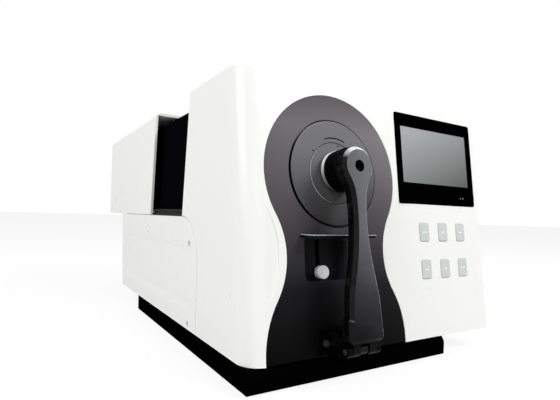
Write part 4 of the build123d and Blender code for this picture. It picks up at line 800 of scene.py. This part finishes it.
def bevel_face(piece: bpy.types.Object, out: Vector, depth: float, hole: Callable[[Vector], bool] | None = None,
               fold: Callable[[Vector], bool] | None = None) -> None:
    """Cut a 45 degree bevel round the face that lies farthest in a direction.

    Args:
        piece: the active object, in object mode.
        out: the direction in which the face looks.
        depth: the bevel's width on the face and its depth.
        hole: tells the points of a hole in that face, which keeps its sharp edge.
        fold: tells the points of a small fold in the outline, which become one point.
    """
    reach = max(point.co.dot(out) for point in piece.data.vertices)
    level = reach - depth
    bpy.ops.object.mode_set(mode="EDIT")
    bpy.ops.mesh.select_all(action="SELECT")
    bpy.ops.mesh.bisect(plane_co=out * level, plane_no=out, threshold=CUT)
    bpy.ops.object.mode_set(mode="OBJECT")
    rim = points_where(piece, lambda place: place.dot(out) > level + NEAR)
    select_in(piece, set(), rim - points_where(piece, hole))
    bpy.ops.mesh.delete(type="VERT")
    bpy.ops.object.mode_set(mode="OBJECT")
    outline = level_points(piece, out, level) - points_where(piece, hole)
    if fold:
        select_in(piece, set(), outline & points_where(piece, fold))
        bpy.ops.mesh.merge(type="CENTER")
        bpy.ops.object.mode_set(mode="OBJECT")
        outline = level_points(piece, out, level) - points_where(piece, hole)
    select_in(piece, set(), outline)
    bpy.ops.mesh.remove_doubles(threshold=depth * MERGE_SHARE)
    bpy.ops.mesh.edge_face_add()
    bpy.ops.mesh.select_mode(type="FACE")
    bpy.ops.mesh.inset(thickness=depth, use_even_offset=True)
    bpy.ops.transform.translate(value=out * depth)
    if hole:
        bpy.ops.mesh.delete(type="ONLY_FACE")
        bpy.ops.object.mode_set(mode="OBJECT")
        select_in(piece, set(), level_points(piece, out, reach))
        bpy.ops.mesh.fill(use_beauty=True)
    bpy.ops.mesh.select_all(action="SELECT")
    bpy.ops.mesh.normals_make_consistent(inside=False)
    bpy.ops.object.mode_set(mode="OBJECT")
    log.info("bevelled %s round %d points", piece.name, len(outline))


class Symbol(Enum):
    """Plain signs printed on the keys."""

    UP = "up"
    DOWN = "down"
    BAR = "bar"


@dataclass
class KeyPad:
    """Six silicone keys with plain printed signs."""

    ink: float = 0.05 * MM
    arrow_radius: float = 2.31 * MM
    bar_length: float = 6.3 * MM
    bar_width: float = 1.47 * MM
    face: Face = field(default_factory=Face)
    signs: tuple[Symbol, ...] = (Symbol.BAR, Symbol.UP, Symbol.BAR, Symbol.BAR, Symbol.DOWN, Symbol.BAR)

    def outline(self, symbol: Symbol) -> bpy.types.Object:
        """Make a sign flat on XY, with a thin edge.

        Args:
            symbol: which sign.

        Returns:
            The sign's object, at the origin.
        """
        start()
        if symbol in (Symbol.UP, Symbol.DOWN):
            turn = 0 if symbol is Symbol.UP else -math.pi
            bpy.ops.mesh.primitive_circle_add(vertices=3, radius=self.arrow_radius, fill_type="NGON",
                                              rotation=(0, 0, turn))
        else:
            bpy.ops.mesh.primitive_plane_add(size=1)
            bpy.ops.object.mode_set(mode="EDIT")
            bpy.ops.mesh.select_all(action="SELECT")
            bpy.ops.transform.resize(value=(self.bar_length, self.bar_width, 1))
            bpy.ops.object.mode_set(mode="OBJECT")
        piece = bpy.context.active_object
        bpy.ops.object.mode_set(mode="EDIT")
        bpy.ops.mesh.select_all(action="SELECT")
        bpy.ops.mesh.extrude_region_move(TRANSFORM_OT_translate={"value": (0, 0, self.ink)})
        bpy.ops.mesh.select_all(action="SELECT")
        bpy.ops.mesh.normals_make_consistent(inside=False)
        bpy.ops.object.mode_set(mode="OBJECT")
        return piece

    def build(self) -> None:
        """Dress the keys and print their signs."""
        WARDROBE.dress({f"button_{number}": KEY_RUBBER for number in range(1, len(self.signs) + 1)})
        for number, symbol in enumerate(self.signs, start=1):
            piece = self.outline(symbol)
            piece.matrix_world = self.face.matrix(self.face.on_top_of(f"button_{number}", 0)) @ piece.matrix_world
            settle(piece, f"key_sign_{number}", f"button_{number}", KEY_INK)


@dataclass
class Casings:
    """Plinth, feet and the white covers."""

    def build(self) -> None:
        """Dress the outer covers."""
        WARDROBE.dress({"base_plinth": PLINTH_PAINT, "rubber_feet": FOOT_RUBBER, "front_housing": WHITE_PAINT,
                        "rear_casing": WHITE_PAINT, "sliding_lid": WHITE_PAINT, "lid_runners": BLACK_ABS,
                        "case_screws": ZINC})


@dataclass
class MeasuringFront:
    """Dark panel, port, pocket and shelf.

    The knob's dish is given from its edge inwards, as each ring's width and rise in millimetres.
    """

    shelf_bevel: float = 0.7 * MM
    shelf_highlight_facing: tuple[float, float] = (0.5, 0.9)
    knob_mm: tuple[float, float, float] = (83.6, 73.2, -8.5)
    knob_radius: float = 6.3 * MM
    knob_length: float = 6.0 * MM
    knob_sides: int = 64
    knob_edge: float = 0.7 * MM
    knob_edge_steps: int = 3
    knob_dish_mm: tuple[tuple[float, float], ...] = ((1.0, 0.0), (0.4, -0.25), (2.6, 0.1))
    knob_smooth: float = 25.0
    face: Face = field(default_factory=Face)

    def knob(self) -> None:
        """Replace the plain knob by a turned one with an eased edge and a shallow dish in its face."""
        start()
        bpy.ops.mesh.primitive_cylinder_add(vertices=self.knob_sides, radius=self.knob_radius,
                                            depth=self.knob_length)
        piece = bpy.context.active_object
        select_in(piece, front_faces(piece), set())
        bpy.ops.mesh.bevel(offset=self.knob_edge, segments=self.knob_edge_steps, affect="EDGES")
        bpy.ops.object.mode_set(mode="OBJECT")
        select_in(piece, front_faces(piece), set())
        for width_mm, rise_mm in self.knob_dish_mm:
            bpy.ops.mesh.inset(thickness=width_mm * MM, depth=rise_mm * MM)
        bpy.ops.object.mode_set(mode="OBJECT")
        piece.matrix_world = self.face.matrix(self.face.at(*self.knob_mm))
        settle(piece, "turned_knob", "selector", CHROME, self.knob_smooth)
        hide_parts("selector_knob")

    def shelf(self) -> None:
        """Replace the plain shelf by one whose upper edge is eased and carries a painted highlight."""
        piece = copy_of("sample_shelf")
        up = Vector((0, 0, 1))
        bevel_face(piece, up, self.shelf_bevel)
        settle(piece, "eased_shelf", "casing", SHELF_LACQUER)
        piece.data.materials.append(WARDROBE.get(SHELF_PAINTED_HIGHLIGHT))
        flattest, steepest = self.shelf_highlight_facing
        # Painted highlight: faces of the eased edge get the pale lacquer
        for polygon in piece.data.polygons:
            polygon.material_index = 1 if flattest < polygon.normal.dot(up) < steepest else 0
        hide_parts("sample_shelf")

    def build(self) -> None:
        """Dress the front panel's pieces."""
        WARDROBE.dress({"front_panel": PANEL_LIGHT_PAINTED_LACQUER, "port_disc": DISC_LIGHT_PAINTED_LACQUER, "aperture_ring": RING_LIGHT_PAINTED_LACQUER,
                        "port_tube": PLATE_ALUMINIUM, "pocket_liner": POCKET_ABS, "selector_slide": BLACK_ABS})
        self.shelf()
        self.knob()


@dataclass
class SampleArm:
    """Swing arm with its hub, pad and pivot.

    The head, the outline's fold and the coil are placed on the front, and hole and fold are how far round them.
    """

    head_mm: tuple[float, float] = (97.3, 163.998)
    hole: float = 9.0 * MM
    bevel: float = 3.0 * MM
    fold_mm: tuple[float, float] = (78.8, 33.0)
    fold: float = 1.6 * MM
    coil_mm: tuple[float, float, float] = (97.3, 7.5, 24.0)
    coil_radius: float = 3.4 * MM
    wire: float = 1.0 * MM
    coil_pitch: float = 1.05 * MM
    coil_turns: int = 8
    coil_steps: int = 32
    wire_sides: int = 12
    coil_smooth: float = 60.0
    face: Face = field(default_factory=Face)

    def near(self, place_mm: tuple[float, float], reach: float) -> Callable[[Vector], bool]:
        """Test for points near a line that stands out of the front.

        Args:
            place_mm: the line's distance from the left side and up the slope.
            reach: how near.

        Returns:
            The test.
        """
        foot = self.face.at(*place_mm, 0)

        def test(point: Vector) -> bool:
            away = point - foot
            return (away - self.face.out * away.dot(self.face.out)).length < reach

        return test

    def arm(self) -> None:
        """Replace the plain arm by one with a bevel all round its face."""
        piece = copy_of("sample_arm")
        bevel_face(piece, self.face.out, self.bevel, hole=self.near(self.head_mm, self.hole),
                   fold=self.near(self.fold_mm, self.fold))
        settle(piece, "bevelled_arm", "arm", ARM_LIGHT_PAINTED_LACQUER)
        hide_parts("sample_arm")

    def spring(self) -> None:
        """Replace the plain spring sleeve by a close-wound coil on the pivot."""
        start()
        bpy.ops.mesh.primitive_circle_add(vertices=self.wire_sides, radius=self.wire / 2,
                                          location=(self.coil_radius, 0, 0), rotation=(math.pi / 2, 0, 0))
        piece = bpy.context.active_object
        bpy.ops.object.transform_apply(location=True, rotation=True, scale=True)
        coil = piece.modifiers.new("coil", "SCREW")
        coil.axis = "Z"
        coil.screw_offset = self.coil_pitch
        coil.iterations = self.coil_turns
        coil.steps = coil.render_steps = self.coil_steps
        coil.use_smooth_shade = True
        bpy.ops.object.modifier_apply(modifier=coil.name)
        bpy.ops.object.mode_set(mode="EDIT")
        bpy.ops.mesh.select_all(action="DESELECT")
        bpy.ops.mesh.select_non_manifold()
        bpy.ops.mesh.edge_face_add()
        bpy.ops.mesh.select_all(action="SELECT")
        bpy.ops.mesh.normals_make_consistent(inside=False)
        bpy.ops.object.mode_set(mode="OBJECT")
        half = self.coil_pitch * self.coil_turns / 2
        piece.matrix_world = (Matrix.Translation(self.face.at(*self.coil_mm)) @ Matrix.Rotation(math.pi / 2, 4, "Y")
                              @ Matrix.Translation((0, 0, -half)))
        settle(piece, "torsion_spring", "casing", SPRING_STEEL, self.coil_smooth)
        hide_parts("arm_spring")

    def build(self) -> None:
        """Dress the arm."""
        WARDROBE.dress({"arm_hub": BLACK_LACQUER, "sample_pad": PAD_PAINTED_HIGHLIGHT, "arm_screw": BLACK_ABS,
                        "arm_bracket": BLACK_LACQUER, "arm_pivot_pin": ZINC})
        self.arm()
        self.spring()


@dataclass
class Display:
    """Bezel with its screen and status lamps, and the boards behind it."""

    def build(self) -> None:
        """Dress the display."""
        WARDROBE.dress({"display_bezel": BLACK_ACRYLIC, "display_screen": SCREEN_PAINTED_REFLECTION, "status_leds": STATUS_LENS,
                        "display_module": BLACK_ABS, "button_board": GREEN_BOARD})


@dataclass
class SampleChamber:
    """Black chamber with the rail, holder and cuvette."""

    def build(self) -> None:
        """Dress the chamber."""
        WARDROBE.dress({"chamber_front_wall": CHAMBER_BLACK, "chamber_window": CUVETTE_GLASS,
                        "chamber_port_ring": PLATE_ALUMINIUM, "chamber_tub": CHAMBER_BLACK,
                        "rail_bed": RAIL_ALUMINIUM, "holder_carriage": CHAMBER_BLACK,
                        "holder_disc": CHAMBER_BLACK, "holder_bar": HOLDER_STEEL, "spring_clip": HOLDER_STEEL,
                        "cuvette": CUVETTE_GLASS, "sample_liquid": YELLOW_LIQUID, "clamp_screw": BLACK_ABS,
                        "source_barrel": BLACK_ABS, "optics_cover": CHAMBER_BLACK})


@dataclass
class InnerModules:
    """Sphere, optics and electronics inside the covers."""

    def build(self) -> None:
        """Dress what the covers hide."""
        WARDROBE.dress({"sphere_upper": SPHERE_WHITE, "sphere_lower": SPHERE_WHITE,
                        "sphere_cradle": PLATE_ALUMINIUM, "flash_lamp": BLACK_ABS,
                        "lamp_housing": PLATE_ALUMINIUM, "spectrometer_block": PLATE_ALUMINIUM,
                        "main_board": GREEN_BOARD, "power_supply": PLATE_ALUMINIUM})


@dataclass
class RearConnectors:
    """Mains inlet, switch and data socket."""

    def build(self) -> None:
        """Dress the connectors."""
        WARDROBE.dress({"rear_io_panel": BLACK_ABS, "power_inlet": BLACK_ABS, "switch_frame": BLACK_ABS,
                        "power_rocker": BLACK_ACRYLIC, "data_socket": ZINC})


@dataclass(frozen=True)
class Softbox:
    """Square soft lamp that points at the object, in metres and watts."""

    name: str
    place: tuple[float, float, float]
    size: float
    power: float
    target: tuple[float, float, float] = (0.0, 0.0, 0.12)

    def hang(self) -> None:
        """Hang the lamp."""
        data = bpy.data.lights.new(self.name, "AREA")
        data.shape = "SQUARE"
        data.size = self.size
        data.energy = self.power
        lamp = bpy.data.objects.new(self.name, data)
        bpy.context.scene.collection.objects.link(lamp)
        lamp.location = self.place
        lamp.rotation_euler = (Vector(self.target) - Vector(self.place)).to_track_quat("-Z", "Y").to_euler()


@dataclass
class Studio:
    """Floor, light and camera."""

    camera_mm: tuple[float, float, float] = (-310.0, -570.3, 142.8)
    yaw: float = math.radians(31.67)
    pitch: float = math.radians(-1.18)
    roll: float = math.radians(1.66)
    lens: float = 27.48
    shift_up: float = 25 / 560
    nearest: float = 0.01
    floor_size: float = 40.0
    floor_bounce: str = "c0c0c0"
    floor_roughness: float = 0.9
    floor_white: float = 0.88
    sky_level: float = 0.32
    white: tuple[float, float, float, float] = (1, 1, 1, 1)
    lamps: tuple[Softbox, ...] = (Softbox("key_softbox", (1.2, -1.6, 1.9), 1.0, 43.0),
                                  Softbox("left_softbox", (-1.9, -0.8, 1.3), 1.4, 28.0),
                                  Softbox("top_softbox", (0.0, 0.4, 2.2), 1.6, 15.0))

    def seen(self, tree: bpy.types.NodeTree) -> bpy.types.NodeSocket:
        """Tell the rays that show the background from those that light the object.

        Args:
            tree: the node tree.

        Returns:
            1 for camera, glossy and transmission rays, else 0.
        """
        rays = add_node(tree, "ShaderNodeLightPath")
        mirror = add_node(tree, "ShaderNodeMath", {0: rays.outputs["Is Glossy Ray"],
                                                   1: rays.outputs["Is Transmission Ray"]}, operation="MAXIMUM")
        return add_node(tree, "ShaderNodeMath", {0: rays.outputs["Is Camera Ray"], 1: mirror.outputs[0]},
                        operation="MAXIMUM").outputs[0]

    def camera(self) -> None:
        """Stand the camera at the photograph's place."""
        look = Vector((math.sin(self.yaw) * math.cos(self.pitch), math.cos(self.yaw) * math.cos(self.pitch),
                       math.sin(self.pitch)))
        level = Vector((math.cos(self.yaw), -math.sin(self.yaw), 0))
        above = level.cross(look)
        right = level * math.cos(self.roll) + above * math.sin(self.roll)
        up = above * math.cos(self.roll) - level * math.sin(self.roll)
        data = bpy.data.cameras.new("camera")
        data.lens = self.lens
        data.shift_y = self.shift_up
        data.clip_start = self.nearest
        eye = bpy.data.objects.new("camera", data)
        bpy.context.scene.collection.objects.link(eye)
        turn = Matrix((right, up, -look)).transposed().to_4x4()
        eye.matrix_world = Matrix.Translation(Vector(self.camera_mm) * MM) @ turn
        bpy.context.scene.camera = eye

    def floor(self) -> None:
        """Lay a floor that lights the object as pale grey card and is itself seen as nearly white."""
        start()
        bpy.ops.mesh.primitive_plane_add(size=self.floor_size)
        ground = bpy.context.active_object
        ground.name = "floor"
        material, tree, shader = new_material("pale_floor")
        fill(shader, {"Base Color": linear(self.floor_bounce), "Roughness": self.floor_roughness,
                      "Specular IOR Level": 0.0})
        shaded = add_node(tree, "ShaderNodeBsdfDiffuse", {"Color": self.white})
        shown = add_node(tree, "ShaderNodeEmission", {"Color": self.white, "Strength": 1.0})
        soft = add_node(tree, "ShaderNodeMixShader", {0: self.floor_white, 1: shaded.outputs[0],
                                                      2: shown.outputs[0]})
        mix = add_node(tree, "ShaderNodeMixShader", {0: self.seen(tree), 1: shader.outputs[0], 2: soft.outputs[0]})
        fill(tree.nodes["Material Output"], {"Surface": mix.outputs[0]})
        ground.data.materials.append(material)

    def sky(self) -> None:
        """Light the room evenly and show white behind the object."""
        world = bpy.data.worlds.new("studio")
        bpy.context.scene.world = world
        world.use_nodes = True
        tree = world.node_tree
        tree.nodes.clear()
        soft = add_node(tree, "ShaderNodeBackground", {"Color": self.white, "Strength": self.sky_level})
        white = add_node(tree, "ShaderNodeBackground", {"Color": self.white, "Strength": 1.0})
        mix = add_node(tree, "ShaderNodeMixShader", {0: self.seen(tree), 1: soft.outputs[0], 2: white.outputs[0]})
        add_node(tree, "ShaderNodeOutputWorld", {"Surface": mix.outputs[0]})

    def build(self) -> None:
        """Set up floor, light and camera."""
        self.floor()
        self.sky()
        for lamp in self.lamps:
            lamp.hang()
        self.camera()
        bpy.context.scene.view_settings.view_transform = "Standard"


def main() -> None:
    """Build and dress every sub-assembly, then set up the studio."""
    logging.basicConfig(level=logging.INFO, format="%(name)s: %(message)s")
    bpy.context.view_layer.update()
    for part in (Casings(), MeasuringFront(), SampleArm(), Display(), KeyPad(), SampleChamber(), InnerModules(),
                 RearConnectors(), Studio()):
        part.build()


if __name__ == "__main__":
    main()
